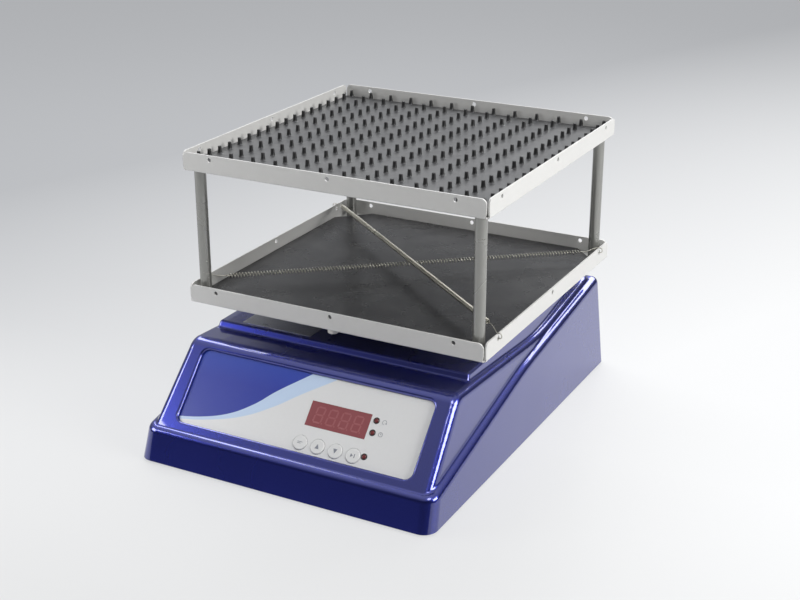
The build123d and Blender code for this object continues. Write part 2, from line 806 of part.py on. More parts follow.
# Motor, its bracket and the belt
with BuildPart() as motor_bracket:
    with BuildSketch(Plane.XZ.offset(-motor_y + bracket_d / 2)):
        with BuildLine():
            left = crank_x - bracket_w / 2
            right = crank_x + bracket_w / 2
            Polyline(
                (left - bracket_foot, plate_top),
                (left, plate_top),
                (left, motor_top),
                (right, motor_top),
                (right, plate_top),
                (right + bracket_foot, plate_top),
                (right + bracket_foot, plate_top + bracket_t),
                (right + bracket_t, plate_top + bracket_t),
                (right + bracket_t, motor_top + bracket_t),
                (left - bracket_t, motor_top + bracket_t),
                (left - bracket_t, plate_top + bracket_t),
                (left - bracket_foot, plate_top + bracket_t),
                close=True,
            )
        make_face()
    extrude(amount=-bracket_d)
    with Locations((crank_x, motor_y, motor_top)):
        Cylinder(motor_hub_d / 2, bracket_t, align=upright, mode=Mode.SUBTRACT)
        with PolarLocations(motor_bolt_r, 4, start_angle=45):
            Cylinder(2.1, bracket_t, align=upright, mode=Mode.SUBTRACT)
    with Locations(*[(x, y, plate_top) for x, y in bracket_spots]):
        Cylinder(screw_d / 2, bracket_t, align=upright, mode=Mode.SUBTRACT)
save(motor_bracket.part, "motor_bracket")

with BuildPart() as motor:
    with Locations((crank_x, motor_y, motor_top)):
        Cylinder(motor_d / 2, motor_h, align=hanging)
    chamfer(motor.edges().group_by(Axis.Z)[-1], 1)
    chamfer(motor.edges().group_by(Axis.Z)[0], 1.5)
    with Locations((crank_x, motor_y, motor_top - 6), (crank_x, motor_y, motor_top - motor_h + 8)):
        Cylinder(motor_d / 2 + 1, 1, align=hanging, mode=Mode.SUBTRACT)
        Cylinder(motor_d / 2 - 0.8, 1, align=hanging)
    with Locations((crank_x, motor_y, motor_top)):
        Cylinder(motor_hub_d / 2 - 0.5, 2, align=upright)
        with PolarLocations(motor_bolt_r, 4, start_angle=45):
            Cylinder(2, 10, align=hanging, mode=Mode.SUBTRACT)
    with Locations((crank_x, motor_y, motor_top - motor_h + 4)):
        Cylinder(motor_shaft_d / 2 + run_gap, motor_h, align=upright, mode=Mode.SUBTRACT)
save(motor.part, "motor")

with BuildPart() as motor_screws:
    with Locations((crank_x, motor_y, motor_top + bracket_t)):
        with PolarLocations(motor_bolt_r, 4, start_angle=45):
            Cylinder(2.0, 0.4, align=hanging)
            Cylinder(3.4, 2.2, align=upright)
            Cylinder(1.95, bracket_t + 8, align=hanging)
save(motor_screws.part, "motor_screws")

with BuildPart() as motor_shaft:
    with Locations((crank_x, motor_y, motor_top - motor_h + 5)):
        Cylinder(motor_shaft_d / 2, pulley_z + pulley_t - motor_top + motor_h - 5, align=upright)
save(motor_shaft.part, "motor_shaft")

motor_pulley = flanged_pulley(crank_x, motor_y, motor_pulley_r, motor_shaft_d / 2, motor_pulley_r)
save(motor_pulley, "motor_pulley")

with BuildPart() as drive_belt:
    belt_angle = acos((crank_pulley_r - motor_pulley_r) / motor_offset) * 180 / pi
    with BuildSketch(Plane.XY.offset(pulley_z + pulley_rim_t + air_gap)) as loop:
        for grow, how in ((air_gap + belt_t, Mode.ADD), (air_gap, Mode.SUBTRACT)):
            big = crank_pulley_r + grow
            small = motor_pulley_r + grow
            with Locations((crank_x, platform_y)):
                Circle(big, mode=how)
            with Locations((crank_x, motor_y)):
                Circle(small, mode=how)
            tangent_c = cos(radians(90 - belt_angle))
            tangent_s = sin(radians(90 - belt_angle))
            with Locations((crank_x, 0)):
                Polygon(
                    (-big * tangent_c, platform_y - big * tangent_s),
                    (-small * tangent_c, motor_y - small * tangent_s),
                    (small * tangent_c, motor_y - small * tangent_s),
                    (big * tangent_c, platform_y - big * tangent_s),
                    align=None,
                    mode=how,
                )
    extrude(amount=pulley_t - 2 * pulley_rim_t - 2 * air_gap)
save(drive_belt.part, "drive_belt")

# Carriage that slides on the guide rods
with BuildPart() as carriage_plate:
    with BuildSketch(Plane.XY.offset(carriage_z)):
        with Locations((0, platform_y)):
            RectangleRounded(carriage_w, carriage_d, 6)
            with GridLocations(2 * column_x, 2 * column_y, 2, 2):
                Circle(screw_d / 2 + fit_gap, mode=Mode.SUBTRACT)
        with Locations(*block_screw_spots):
            Circle(screw_d / 2 + fit_gap, mode=Mode.SUBTRACT)
        with Locations((-22, 96), (22, -14)):
            Circle(11, mode=Mode.SUBTRACT)
    extrude(amount=carriage_t)
    with Locations((wrist_x, platform_y, con_rod_z + con_rod_t + air_gap)):
        Cylinder(9, carriage_z - con_rod_z - con_rod_t - air_gap, align=upright)
        Cylinder(wrist_d / 2, carriage_z + carriage_t, align=upright, mode=Mode.SUBTRACT)
save(carriage_plate.part, "carriage_plate")

with BuildPart() as bushing_blocks:
    with Locations((0, platform_y, carriage_z)):
        with GridLocations(2 * block_x, 2 * rod_spread, 2, 2):
            Box(block_w, block_d, block_drop, align=hanging)
    for y in rod_ys:
        with Locations((0, y, rod_z)):
            Cylinder(bushing_d / 2, carriage_w, rotation=(0, 90, 0), mode=Mode.SUBTRACT)
    with Locations(*[(x, y, carriage_z) for x, y in block_screw_spots]):
        Cylinder(screw_d / 2, 8, align=hanging, mode=Mode.SUBTRACT)
save(bushing_blocks.part, "bushing_blocks")

with BuildPart() as linear_bushings:
    for y in rod_ys:
        with Locations((-block_x, y, rod_z), (block_x, y, rod_z)):
            Cylinder(bushing_d / 2, bushing_l, rotation=(0, 90, 0))
        with Locations((0, y, rod_z)):
            Cylinder(rod_d / 2 + run_gap, carriage_w, rotation=(0, 90, 0), mode=Mode.SUBTRACT)
save(linear_bushings.part, "linear_bushings")

with BuildPart() as platform_columns:
    with Locations((0, platform_y, carriage_z + carriage_t)):
        with GridLocations(2 * column_x, 2 * column_y, 2, 2):
            Cylinder(column_d / 2, lower_tray_z - carriage_z - carriage_t, align=upright)
            Cylinder(2.05, lower_tray_z - carriage_z - carriage_t, align=upright, mode=Mode.SUBTRACT)
save(platform_columns.part, "platform_columns")

with BuildPart() as carriage_screws:
    with Locations((0, platform_y, carriage_z)):
        with GridLocations(2 * column_x, 2 * column_y, 2, 2):
            Cylinder(3.4, 2.2, align=hanging)
            Cylinder(holds(screw_d), carriage_t + 8, align=upright)
    with Locations(*[(x, y, carriage_z + carriage_t) for x, y in block_screw_spots]):
        Cylinder(3.4, 2.2, align=upright)
        Cylinder(holds(screw_d), carriage_t + 7, align=hanging)
save(carriage_screws.part, "carriage_screws")

with BuildPart() as slot_seals:
    with BuildSketch(Plane.XY.offset(deck_z)):
        with Locations((0, platform_y)):
            with GridLocations(2 * column_x, 2 * column_y, 2, 2):
                SlotOverall(slot_l + 2 * seal_flange, slot_w + 2 * seal_flange)
    extrude(amount=seal_t)
    with BuildSketch(Plane.XY.offset(deck_z - wall)):
        with Locations((0, platform_y)):
            with GridLocations(2 * column_x, 2 * column_y, 2, 2):
                SlotOverall(slot_l, slot_w)
    extrude(amount=wall)
    with BuildSketch(Plane.XY.offset(deck_z - wall)):
        with Locations((0, platform_y)):
            with GridLocations(2 * column_x, 2 * column_y, 2, 2):
                SlotOverall(slot_l - 2 * seal_lip, slot_w - 2 * seal_lip)
    extrude(amount=wall + seal_t, mode=Mode.SUBTRACT)
save(slot_seals.part, "slot_seals")


# Trays of folded sheet, posts, mats and screws
def tray_form(z, holes_below):
    # a sheet floor with four turned-up flanges, open at the corners
    notch = tray_t + flange_gap
    with BuildPart() as tray:
        with BuildSketch(Plane.XY.offset(z)):
            with Locations((0, platform_y)):
                Rectangle(tray_w, tray_d)
                with GridLocations(tray_w, tray_d, 2, 2):
                    Rectangle(2 * notch, 2 * notch, mode=Mode.SUBTRACT)
        extrude(amount=tray_t)
        for side in (-1, 1):
            across = side * (tray_w - tray_t) / 2 - tray_t / 2
            with BuildSketch(Plane.YZ.offset(across)) as cheek:
                with Locations((platform_y, z + flange_h / 2)):
                    Rectangle(tray_d - 2 * notch, flange_h)
                fillet(cheek.vertices().group_by(Axis.Z)[-1], flange_corner_r)
                for y in (-flange_hole_pitch, 0, flange_hole_pitch):
                    with Locations((platform_y + y, z + flange_h - flange_hole_drop)):
                        Circle(flange_hole_d / 2, mode=Mode.SUBTRACT)
            extrude(amount=tray_t)
            lengthwise = side * (tray_d - tray_t) / 2 - tray_t / 2 - platform_y
            with BuildSketch(Plane.XZ.offset(lengthwise)) as cheek:
                with Locations((0, z + flange_h / 2)):
                    Rectangle(tray_w - 2 * notch, flange_h)
                fillet(cheek.vertices().group_by(Axis.Z)[-1], flange_corner_r)
                for x in (-flange_hole_pitch, 0, flange_hole_pitch):
                    with Locations((x, z + flange_h - flange_hole_drop)):
                        Circle(flange_hole_d / 2, mode=Mode.SUBTRACT)
            extrude(amount=tray_t)
        bends = [
            e
            for e in tray.edges().filter_by(Plane.XY)
            if abs(e.center().Z - z) < 0.01 and e.length > 200
        ]
        fillet(bends, 0.8 * tray_t)
        with Locations((0, platform_y, z)):
            with GridLocations(2 * post_x, 2 * post_y, 2, 2):
                if holes_below:
                    Cone(tray_screw_head_d / 2, 2.2, tray_t, align=upright, mode=Mode.SUBTRACT)
                else:
                    Cone(2.2, tray_screw_head_d / 2, tray_t, align=upright, mode=Mode.SUBTRACT)
            if holes_below:
                with GridLocations(2 * column_x, 2 * column_y, 2, 2):
                    Cone(2.2, tray_screw_head_d / 2, tray_t, align=upright, mode=Mode.SUBTRACT)
                with Locations((0, pad_y - platform_y, 0)):
                    Cone(2.2, tray_screw_head_d / 2, tray_t, align=upright, mode=Mode.SUBTRACT)
    return tray.part


lower_tray = tray_form(lower_tray_z, True)
save(lower_tray, "lower_tray")
upper_tray = tray_form(upper_tray_z, False)
save(upper_tray, "upper_tray")

with BuildPart() as posts:
    with Locations((0, platform_y, lower_tray_z + tray_t)):
        with GridLocations(2 * post_x, 2 * post_y, 2, 2):
            Cylinder(post_d / 2, post_h, align=upright)
    chamfer(posts.edges().group_by(Axis.Z)[-1] + posts.edges().group_by(Axis.Z)[0], 0.4)
    with Locations((0, platform_y, lower_tray_z + tray_t)):
        with GridLocations(2 * post_x, 2 * post_y, 2, 2):
            Cylinder(2.05, 14, align=upright, mode=Mode.SUBTRACT)
    with Locations((0, platform_y, upper_tray_z)):
        with GridLocations(2 * post_x, 2 * post_y, 2, 2):
            Cylinder(2.05, 14, align=hanging, mode=Mode.SUBTRACT)
save(posts.part, "posts")

with BuildPart() as platform_screws:
    with Locations((0, platform_y, lower_tray_z)):
        with GridLocations(2 * post_x, 2 * post_y, 2, 2):
            Cone(tray_screw_head_d / 2 - 0.1, 2.0, tray_t, align=upright)
            Cylinder(2.0, 12, align=upright)
    with Locations((0, platform_y, upper_tray_z + tray_t)):
        with GridLocations(2 * post_x, 2 * post_y, 2, 2):
            Cone(2.0, tray_screw_head_d / 2 - 0.1, tray_t, align=hanging)
            Cylinder(2.0, 12, align=hanging)
    with Locations((0, platform_y, lower_tray_z + tray_t)):
        with GridLocations(2 * column_x, 2 * column_y, 2, 2):
            Cone(2.0, tray_screw_head_d / 2 - 0.1, tray_t, align=hanging)
            Cylinder(2.0, 11, align=hanging)
    with Locations((0, pad_y, lower_tray_z + tray_t)):
        Cone(2.0, tray_screw_head_d / 2 - 0.1, tray_t, align=hanging)
        Cylinder(2.0, tray_t + pad_t - 1, align=hanging)
save(platform_screws.part, "platform_screws")

with BuildPart() as front_pad:
    with Locations((0, pad_y, lower_tray_z)):
        Cylinder(pad_d / 2, pad_t, align=hanging)
    chamfer(front_pad.edges().group_by(Axis.Z)[0], 0.8)
    with Locations((0, pad_y, lower_tray_z)):
        Cylinder(2.05, pad_t - 0.9, align=hanging, mode=Mode.SUBTRACT)
save(front_pad.part, "front_pad")


def mat_outline(corner_cut):
    # the inside of a tray with its corners cut off
    corners = []
    for sx, sy in ((1, 1), (-1, 1), (-1, -1), (1, -1)):
        near = (sx * (mat_half_x - corner_cut), sy * mat_half_y)
        far = (sx * mat_half_x, sy * (mat_half_y - corner_cut))
        corners += [far, near] if sx * sy > 0 else [near, far]
    return corners


with BuildPart() as lower_mat:
    with BuildSketch(Plane.XY.offset(lower_tray_z + tray_t)):
        with Locations((0, platform_y)):
            Polygon(*mat_outline(mat_corner_cut), align=None)
    extrude(amount=lower_mat_t)
save(lower_mat.part, "lower_mat")

with BuildPart() as peg_mat:
    with BuildSketch(Plane.XY.offset(upper_tray_z + tray_t)):
        with Locations((0, platform_y)):
            Polygon(*mat_outline(peg_mat_corner_cut), align=None)
    extrude(amount=peg_mat_t)
    peg_mid_y = platform_y + peg_first_y + (peg_rows - 1) * peg_pitch_y / 2
    with Locations((0, peg_mid_y, upper_tray_z + tray_t + peg_mat_t)):
        with GridLocations(peg_pitch_x, peg_pitch_y, peg_columns, peg_rows):
            Cone(peg_base_d / 2, peg_tip_d / 2, peg_h, align=upright)
save(peg_mat.part, "peg_mat")

# Springs across the lower tray, each one wire with a hook over each flange
def biarc_path(points, headings):
    # joins the points with pairs of arcs that keep each heading
    for p0, p1, t0, t1 in zip(points, points[1:], headings, headings[1:]):
        v = p1 - p0
        a = 2 * (1 - t0.dot(t1))
        b = 2 * v.dot(t0 + t1)
        c = -v.dot(v)
        if a < 1e-9 and v.cross(t0).length < 1e-6:
            Line(p0, p1)
            continue
        d = -c / b if a < 1e-9 else (-b + sqrt(b * b - 4 * a * c)) / (2 * a)
        middle = (p0 + p1) * 0.5 + (t0 - t1) * (d / 2)
        first = TangentArc(p0, middle, tangent=t0)
        TangentArc(middle, p1, tangent=first % 1)


def cross_spring(lean, axis_z, coil_turns):
    # lean is 1 for a spring from the left front to the right rear, and -1 for the other
    hole_z = lower_tray_z + flange_h - flange_hole_drop
    x0 = tray_w / 2
    y0 = lean * flange_hole_pitch
    right = Vector(1, 0, 0)
    hook_x = x0 + hook_rise
    points = [
        Vector(-x0 + tray_t + 1.5, platform_y - y0, hole_z),
        Vector(-hook_x, platform_y - y0, hole_z),
        Vector(-hook_x - hook_r, platform_y - y0, hole_z + hook_r),
        Vector(-hook_x, platform_y - y0, hole_z + 2 * hook_r),
        Vector(-hook_x + 2.5, platform_y - y0, hole_z + 2 * hook_r),
    ]
    headings = [-right, -right, Vector(0, 0, 1), right, right]
    along = Vector(2 * x0, 2 * y0, 0).normalized()
    side = Vector(-along.Y, along.X, 0)
    up = Vector(0, 0, 1)
    middle = Vector(0, platform_y, axis_z)
    half_span = Vector(x0, y0, 0).length
    coil_half = half_span - coil_lead
    bend = coil_half + coil_bend
    coil_r = (coil_d - wire_d) / 2
    pitch = 2 * coil_half / coil_turns
    points.append(middle - along * bend)
    headings.append(along)
    for k in range(2 * coil_turns + 1):
        turn = pi * k
        off = side * (coil_r * cos(turn)) + up * (coil_r * sin(turn))
        points.append(middle + along * (k * pitch / 2 - coil_half) + off)
        swing = up * (coil_r * cos(turn)) - side * (coil_r * sin(turn))
        headings.append((along * (pitch / 2 / pi) + swing).normalized())
    points.append(middle + along * bend)
    headings.append(along)
    for p, t in list(zip(points[:5], headings[:5]))[::-1]:
        points.append(Vector(-p.X, 2 * platform_y - p.Y, p.Z))
        headings.append(Vector(t.X, t.Y, -t.Z))
    with BuildPart() as spring:
        with BuildLine() as path:
            biarc_path(points, headings)
        with BuildSketch(Plane(origin=points[0], z_dir=headings[0])):
            Circle(wire_d / 2)
        sweep()
    edges = path.edges()
    arcs = [e for e in edges if e.geom_type == GeomType.CIRCLE]
    steps = 4
    spots = [tuple(e @ (i / steps)) for e in edges for i in range(steps)]
    apart = 2 * steps
    gap = min(
        dist(spots[i], spots[j])
        for i in range(len(spots))
        for j in range(i + apart, min(i + 30 * steps, len(spots)))
    )
    print("spring gap to itself", gap - wire_d, "tightest bend", min(e.radius for e in arcs), len(edges))
    return spring.part


spring_upper = cross_spring(-1, spring_upper_z, upper_turns)
save(spring_upper, "spring_upper")
spring_lower = cross_spring(1, spring_lower_z, lower_turns)
save(spring_lower, "spring_lower")

# Rear panel with the mains inlet, the rocker switch and the fuse
with BuildPart() as rear_panel:
    with BuildSketch(rear_plane.offset(-rear_panel_t)):
        with Locations((-rear_panel_x, 0)):
            Rectangle(rear_panel_w - fit_gap, rear_panel_h - fit_gap)
        with Locations((-inlet_x, 0)):
            Rectangle(inlet_w, inlet_h, mode=Mode.SUBTRACT)
        with Locations((-rocker_x, 0)):
            Rectangle(rocker_w, rocker_h, mode=Mode.SUBTRACT)
        with Locations((-fuse_x, 0)):
            Circle(fuse_d / 2, mode=Mode.SUBTRACT)
        with Locations(*panel_screw_spots):
            Circle(1.6, mode=Mode.SUBTRACT)
    extrude(amount=rear_panel_t)
save(rear_panel.part, "rear_panel")

with BuildPart() as mains_inlet:
    with BuildSketch(rear_plane):
        with Locations((-inlet_x, 0)):
            RectangleRounded(inlet_w + 5, inlet_h + 5, 2)
    extrude(amount=2)
    with BuildSketch(rear_plane.offset(-inlet_depth)):
        with Locations((-inlet_x, 0)):
            Rectangle(inlet_w - 0.1, inlet_h - 0.1)
    extrude(amount=inlet_depth)
    with BuildSketch(rear_plane.offset(2)) as socket:
        with Locations((-inlet_x, 0)):
            Rectangle(inlet_w - 3, inlet_h - 4)
        chamfer(socket.vertices().group_by(Axis.Z)[-1], 4)
    extrude(amount=-18.5, mode=Mode.SUBTRACT)
    with BuildSketch(rear_plane.offset(-16.5)):
        with Locations((-inlet_x - 7, -2), (-inlet_x, 3), (-inlet_x + 7, -2)):
            Rectangle(2, 4)
    extrude(amount=13)
save(mains_inlet.part, "mains_inlet")

rocker_pivot = rear_plane.from_local_coords((-rocker_x, 0, -rocker_pivot_depth))
with BuildPart() as rocker_body:
    with BuildSketch(rear_plane):
        with Locations((-rocker_x, 0)):
            RectangleRounded(rocker_w + 4, rocker_h + 4, 1.5)
    extrude(amount=1.5)
    with BuildSketch(rear_plane.offset(-rocker_depth)):
        with Locations((-rocker_x, 0)):
            Rectangle(rocker_w - 0.1, rocker_h - 0.1)
    extrude(amount=rocker_depth)
    with BuildSketch(rear_plane.offset(1.5)):
        with Locations((-rocker_x, 0)):
            Rectangle(rocker_w - 2, 2 * (rocker_swing_r + air_gap))
    extrude(amount=-rocker_pivot_depth - rocker_swing_r - 3, mode=Mode.SUBTRACT)
    with Locations(rocker_pivot):
        Cylinder(rocker_pivot_d / 2 + run_gap, rocker_w - 1, rotation=(0, 90, 0), mode=Mode.SUBTRACT)
save(rocker_body.part, "rocker_body")

lean = radians(rear_draft - rocker_tilt)
rocker_plane = Plane(origin=rocker_pivot, x_dir=(0, -sin(lean), cos(lean)), z_dir=(-1, 0, 0))
with BuildPart() as power_rocker:
    with BuildSketch(rocker_plane):
        Circle(rocker_swing_r)
        with BuildLine():
            ends = 3.0 + 9 * tan(radians(rocker_tilt))
            Polyline((-9, -3), (9, -3), (9, ends), (0, 3.0), (-9, ends), close=True)
        make_face(mode=Mode.INTERSECT)
    extrude(amount=(rocker_w - 2 - 2 * air_gap) / 2, both=True)
    with Locations(rocker_pivot):
        Cylinder(rocker_pivot_d / 2, rocker_w - 1.2, rotation=(0, 90, 0))
save(power_rocker.part, "power_rocker")

with BuildPart() as fuse_holder:
    with BuildSketch(rear_plane):
        with Locations((-fuse_x, 0)):
            Circle(fuse_d / 2 + 1.5)
    extrude(amount=1.5)
    with BuildSketch(rear_plane.offset(-24)):
        with Locations((-fuse_x, 0)):
            Circle(fuse_d / 2 - 0.05)
    extrude(amount=24)
    with BuildSketch(rear_plane.offset(1.5)):
        with Locations((-fuse_x, 0)):
            Circle(fuse_d / 2 - 1.5)
    extrude(amount=-8, mode=Mode.SUBTRACT)
save(fuse_holder.part, "fuse_holder")

with BuildPart() as fuse_cap:
    with BuildSketch(rear_plane.offset(-6.4)):
        with Locations((-fuse_x, 0)):
            Circle(fuse_d / 2 - 1.55)
    extrude(amount=6.4 + 3)
    chamfer(fuse_cap.edges().sort_by(rear_axis)[-1], 0.5)
    with BuildSketch(rear_plane.offset(3)):
        with Locations((-fuse_x, 0)):
            Rectangle(6, 1)
    extrude(amount=-1, mode=Mode.SUBTRACT)
save(fuse_cap.part, "fuse_cap")

with BuildPart() as panel_screws:
    with BuildSketch(rear_plane):
        with Locations(*panel_screw_spots):
            Circle(2.8)
    extrude(amount=1.6)
    with BuildSketch(rear_plane):
        with Locations(*panel_screw_spots):
            Circle(1.5)
    extrude(amount=-rear_panel_t)
save(panel_screws.part, "panel_screws")

with BuildPart() as power_supply:
    with Locations((supply_x, supply_y, plate_top)):
        Box(supply_w, supply_d, supply_h, align=upright)
    chamfer(power_supply.edges().filter_by(Axis.Z), 1)
    with Locations((supply_x, supply_y, plate_top + supply_h)):
        with GridLocations(0, 6, 1, 6):
            Box(supply_w - 2 * supply_vent_in, 2.4, 1.2, align=hanging, mode=Mode.SUBTRACT)
    with Locations(*[(x, y, plate_top) for x, y in supply_spots]):
        Cylinder(screw_d / 2, 6, align=upright, mode=Mode.SUBTRACT)
save(power_supply.part, "power_supply")

with BuildPart() as supply_terminals:
    with Locations((supply_x - supply_w / 2, supply_y, plate_top + 6)):
        Box(terminal_d, supply_d - 12, terminal_h, align=(Align.MAX, Align.CENTER, Align.MIN))
    with Locations((supply_x - (supply_w + terminal_d) / 2, supply_y, plate_top + 6 + terminal_h)):
        with GridLocations(0, 8, 1, 5):
            Cylinder(2.6, 3, align=hanging, mode=Mode.SUBTRACT)
            Cylinder(2.2, 2, align=hanging)
save(supply_terminals.part, "supply_terminals")
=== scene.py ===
import math
import random

import bmesh
import bpy
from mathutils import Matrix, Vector


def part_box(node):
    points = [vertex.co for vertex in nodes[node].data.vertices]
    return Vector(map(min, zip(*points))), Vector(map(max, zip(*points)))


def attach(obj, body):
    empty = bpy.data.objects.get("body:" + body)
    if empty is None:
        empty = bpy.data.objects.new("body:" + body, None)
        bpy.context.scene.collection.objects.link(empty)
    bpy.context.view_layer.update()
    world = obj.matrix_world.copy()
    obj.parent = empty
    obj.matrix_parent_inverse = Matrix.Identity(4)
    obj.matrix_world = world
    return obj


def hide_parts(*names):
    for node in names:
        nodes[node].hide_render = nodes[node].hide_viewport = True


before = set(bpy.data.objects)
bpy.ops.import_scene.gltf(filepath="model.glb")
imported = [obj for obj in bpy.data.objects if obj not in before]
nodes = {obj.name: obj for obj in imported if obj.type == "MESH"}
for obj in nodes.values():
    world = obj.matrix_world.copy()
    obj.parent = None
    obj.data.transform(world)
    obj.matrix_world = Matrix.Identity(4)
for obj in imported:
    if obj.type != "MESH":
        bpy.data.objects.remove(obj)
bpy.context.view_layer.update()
scene = bpy.context.scene
mm = 0.001
print("frame loaded:", len(nodes), "nodes")


# Helpers for shader trees

def addNode(tree, kind, inputs=None, **props):
    node = tree.nodes.new("ShaderNode" + kind)
    for name, value in props.items():
        setattr(node, name, value)
    for name, value in (inputs or {}).items():
        setInput(tree, node.inputs[name], value)
    return node


def setInput(tree, socket, value):
    if isinstance(value, bpy.types.NodeSocket):
        tree.links.new(value, socket)
    elif isinstance(value, tuple) and len(value) == 3 and socket.type == "RGBA":
        socket.default_value = (*value, 1.0)
    else:
        socket.default_value = value


def calc(tree, operation, a, b=0.0, clamp=False):
    return addNode(tree, "Math", {0: a, 1: b}, operation=operation, use_clamp=clamp).outputs[0]


def blendColour(tree, factor, a, b, mode="MIX"):
    inputs = {0: factor, 6: a, 7: b}
    return addNode(tree, "Mix", inputs, data_type="RGBA", blend_type=mode).outputs[2]


def remap(tree, value, low, high, newLow=0.0, newHigh=1.0):
    return addNode(tree, "MapRange", {0: value, 1: low, 2: high, 3: newLow, 4: newHigh}).outputs[0]


def dotWith(tree, a, b):
    return addNode(tree, "VectorMath", {0: a, 1: b}, operation="DOT_PRODUCT").outputs["Value"]


def axisOf(tree, vector, axis):
    return addNode(tree, "SeparateXYZ", {0: vector}).outputs[axis]


def addNoise(tree, vector, scale, detail, **more):
    inputs = {"Vector": vector, "Scale": scale, "Detail": detail, **more}
    return addNode(tree, "TexNoise", inputs).outputs["Fac"]


def scaledPlace(tree, vector, size):
    # the place, counted in steps of so many millimetres
    scaled = addNode(tree, "VectorMath", {0: vector}, operation="SCALE")
    tree.links.new(calc(tree, "DIVIDE", 1000.0, size), scaled.inputs["Scale"])
    return scaled.outputs[0]


def newGroup(name, inputs, outputs):
    tree = bpy.data.node_groups.new(name, "ShaderNodeTree")
    for label, kind, value in inputs:
        socket = tree.interface.new_socket(label, in_out="INPUT", socket_type="NodeSocket" + kind)
        if value is not None:
            socket.default_value = value
    for label, kind in outputs:
        tree.interface.new_socket(label, in_out="OUTPUT", socket_type="NodeSocket" + kind)
    given = tree.nodes.new("NodeGroupInput").outputs
    put = tree.nodes.new("NodeGroupOutput").inputs
    return tree, given, put


def useGroup(tree, name, **inputs):
    node = tree.nodes.new("ShaderNodeGroup")
    node.node_tree = bpy.data.node_groups[name]
    for label, value in inputs.items():
        setInput(tree, node.inputs[label], value)
    return node.outputs


# Shared effects

def makeGrainGroup():
    # fine bumps of a moulded, painted or rubber surface; Size is one bump in millimetres
    tree, given, put = newGroup(
        "fineGrain",
        [("Vector", "Vector", None), ("Size", "Float", 0.5)],
        [("Height", "Float"), ("Shade", "Float")],
    )
    place = scaledPlace(tree, given["Vector"], given["Size"])
    fine = addNoise(tree, place, 1.0, 3.0, Roughness=0.6)
    cells = addNode(tree, "TexVoronoi", {"Vector": place, "Scale": 0.8}, feature="SMOOTH_F1")
    wide = addNoise(tree, place, 0.11, 4.0, Roughness=0.55)
    softCells = calc(tree, "MULTIPLY", cells.outputs["Distance"], 0.5)
    tree.links.new(calc(tree, "ADD", fine, softCells), put["Height"])
    faint = addNode(tree, "Math", {0: fine, 1: 0.45, 2: -0.2}, operation="MULTIPLY_ADD").outputs[0]
    tree.links.new(calc(tree, "ADD", faint, wide, clamp=True), put["Shade"])


def makeSmudgeGroup():
    # slow changes of gloss, as handling leaves them
    tree, given, put = newGroup(
        "softSmudge",
        [("Vector", "Vector", None), ("Size", "Float", 40.0)],
        [("Mask", "Float")],
    )
    place = scaledPlace(tree, given["Vector"], given["Size"])
    cloud = addNoise(tree, place, 1.0, 5.0, Roughness=0.5, Distortion=0.6)
    tree.links.new(remap(tree, cloud, 0.3, 0.72), put["Mask"])


def makeWearGroup():
    # rubbed edges: where the rounded normal leaves the flat one, broken up by noise
    tree, given, put = newGroup(
        "edgeWear",
        [("Vector", "Vector", None), ("Width", "Float", 0.0008), ("Amount", "Float", 0.5)],
        [("Mask", "Float")],
    )
    rounded = addNode(tree, "Bevel", {"Radius": given["Width"]}, samples=4).outputs[0]
    flat = addNode(tree, "NewGeometry").outputs["Normal"]
    edge = remap(tree, dotWith(tree, rounded, flat), 0.995, 0.85)
    patches = addNoise(tree, given["Vector"], 260.0, 4.0)
    worn = calc(tree, "MULTIPLY", edge, remap(tree, patches, 0.38, 0.62))
    tree.links.new(calc(tree, "MULTIPLY", worn, given["Amount"], clamp=True), put["Mask"])


def makeDustGroup():
    # a thin fall of dust on what faces up
    tree, given, put = newGroup(
        "dustFall",
        [("Vector", "Vector", None), ("Amount", "Float", 0.1)],
        [("Mask", "Float")],
    )
    normal = addNode(tree, "NewGeometry").outputs["Normal"]
    up = remap(tree, axisOf(tree, normal, "Z"), 0.55, 1.0)
    cloud = addNoise(tree, given["Vector"], 38.0, 8.0, Roughness=0.7)
    fallen = calc(tree, "MULTIPLY", up, remap(tree, cloud, 0.42, 0.75))
    tree.links.new(calc(tree, "MULTIPLY", fallen, given["Amount"]), put["Mask"])


def makeBrushGroup():
    # long fine scratches along X for rolled, ground and brushed metal
    tree, given, put = newGroup(
        "brushLines",
        [("Vector", "Vector", None), ("Size", "Float", 0.3)],
        [("Height", "Float"), ("Shade", "Float")],
    )
    long = addNode(tree, "Mapping", {"Vector": given["Vector"], "Scale": (0.04, 1.0, 1.0)})
    place = scaledPlace(tree, long.outputs[0], given["Size"])
    lines = addNoise(tree, place, 1.0, 4.0, Roughness=0.7)
    tree.links.new(lines, put["Height"])
    tree.links.new(remap(tree, lines, 0.3, 0.7), put["Shade"])


for makeEffect in (makeGrainGroup, makeSmudgeGroup, makeWearGroup, makeDustGroup, makeBrushGroup):
    makeEffect()
print("shader groups made")


# What a finish has where its own row says nothing else; sizes and depths in millimetres
plainLook = {
    "metallic": 0.0, "ior": 1.5, "specular": 0.5, "coat": 0.0, "coatRough": 0.05, "coatIor": 1.5,
    "pattern": "fineGrain", "bump": 0.3, "depth": 0.04, "smudge": 45.0,
    "wear": 0.3, "wearWidth": 0.6, "dust": 0.05, "dustColour": (0.62, 0.61, 0.58), "dustRough": 0.4,
}
shaderSockets = {
    "metallic": "Metallic", "ior": "IOR", "specular": "Specular IOR Level",
    "coat": "Coat Weight", "coatRough": "Coat Roughness", "coatIor": "Coat IOR",
}


def startMaterial(name, look):
    material = bpy.data.materials.new(name)
    material.use_nodes = True
    tree = material.node_tree
    shader = tree.nodes["Principled BSDF"]
    for key, socket in shaderSockets.items():
        shader.inputs[socket].default_value = look[key]
    return material, tree, shader, addNode(tree, "TexCoord").outputs["Object"]


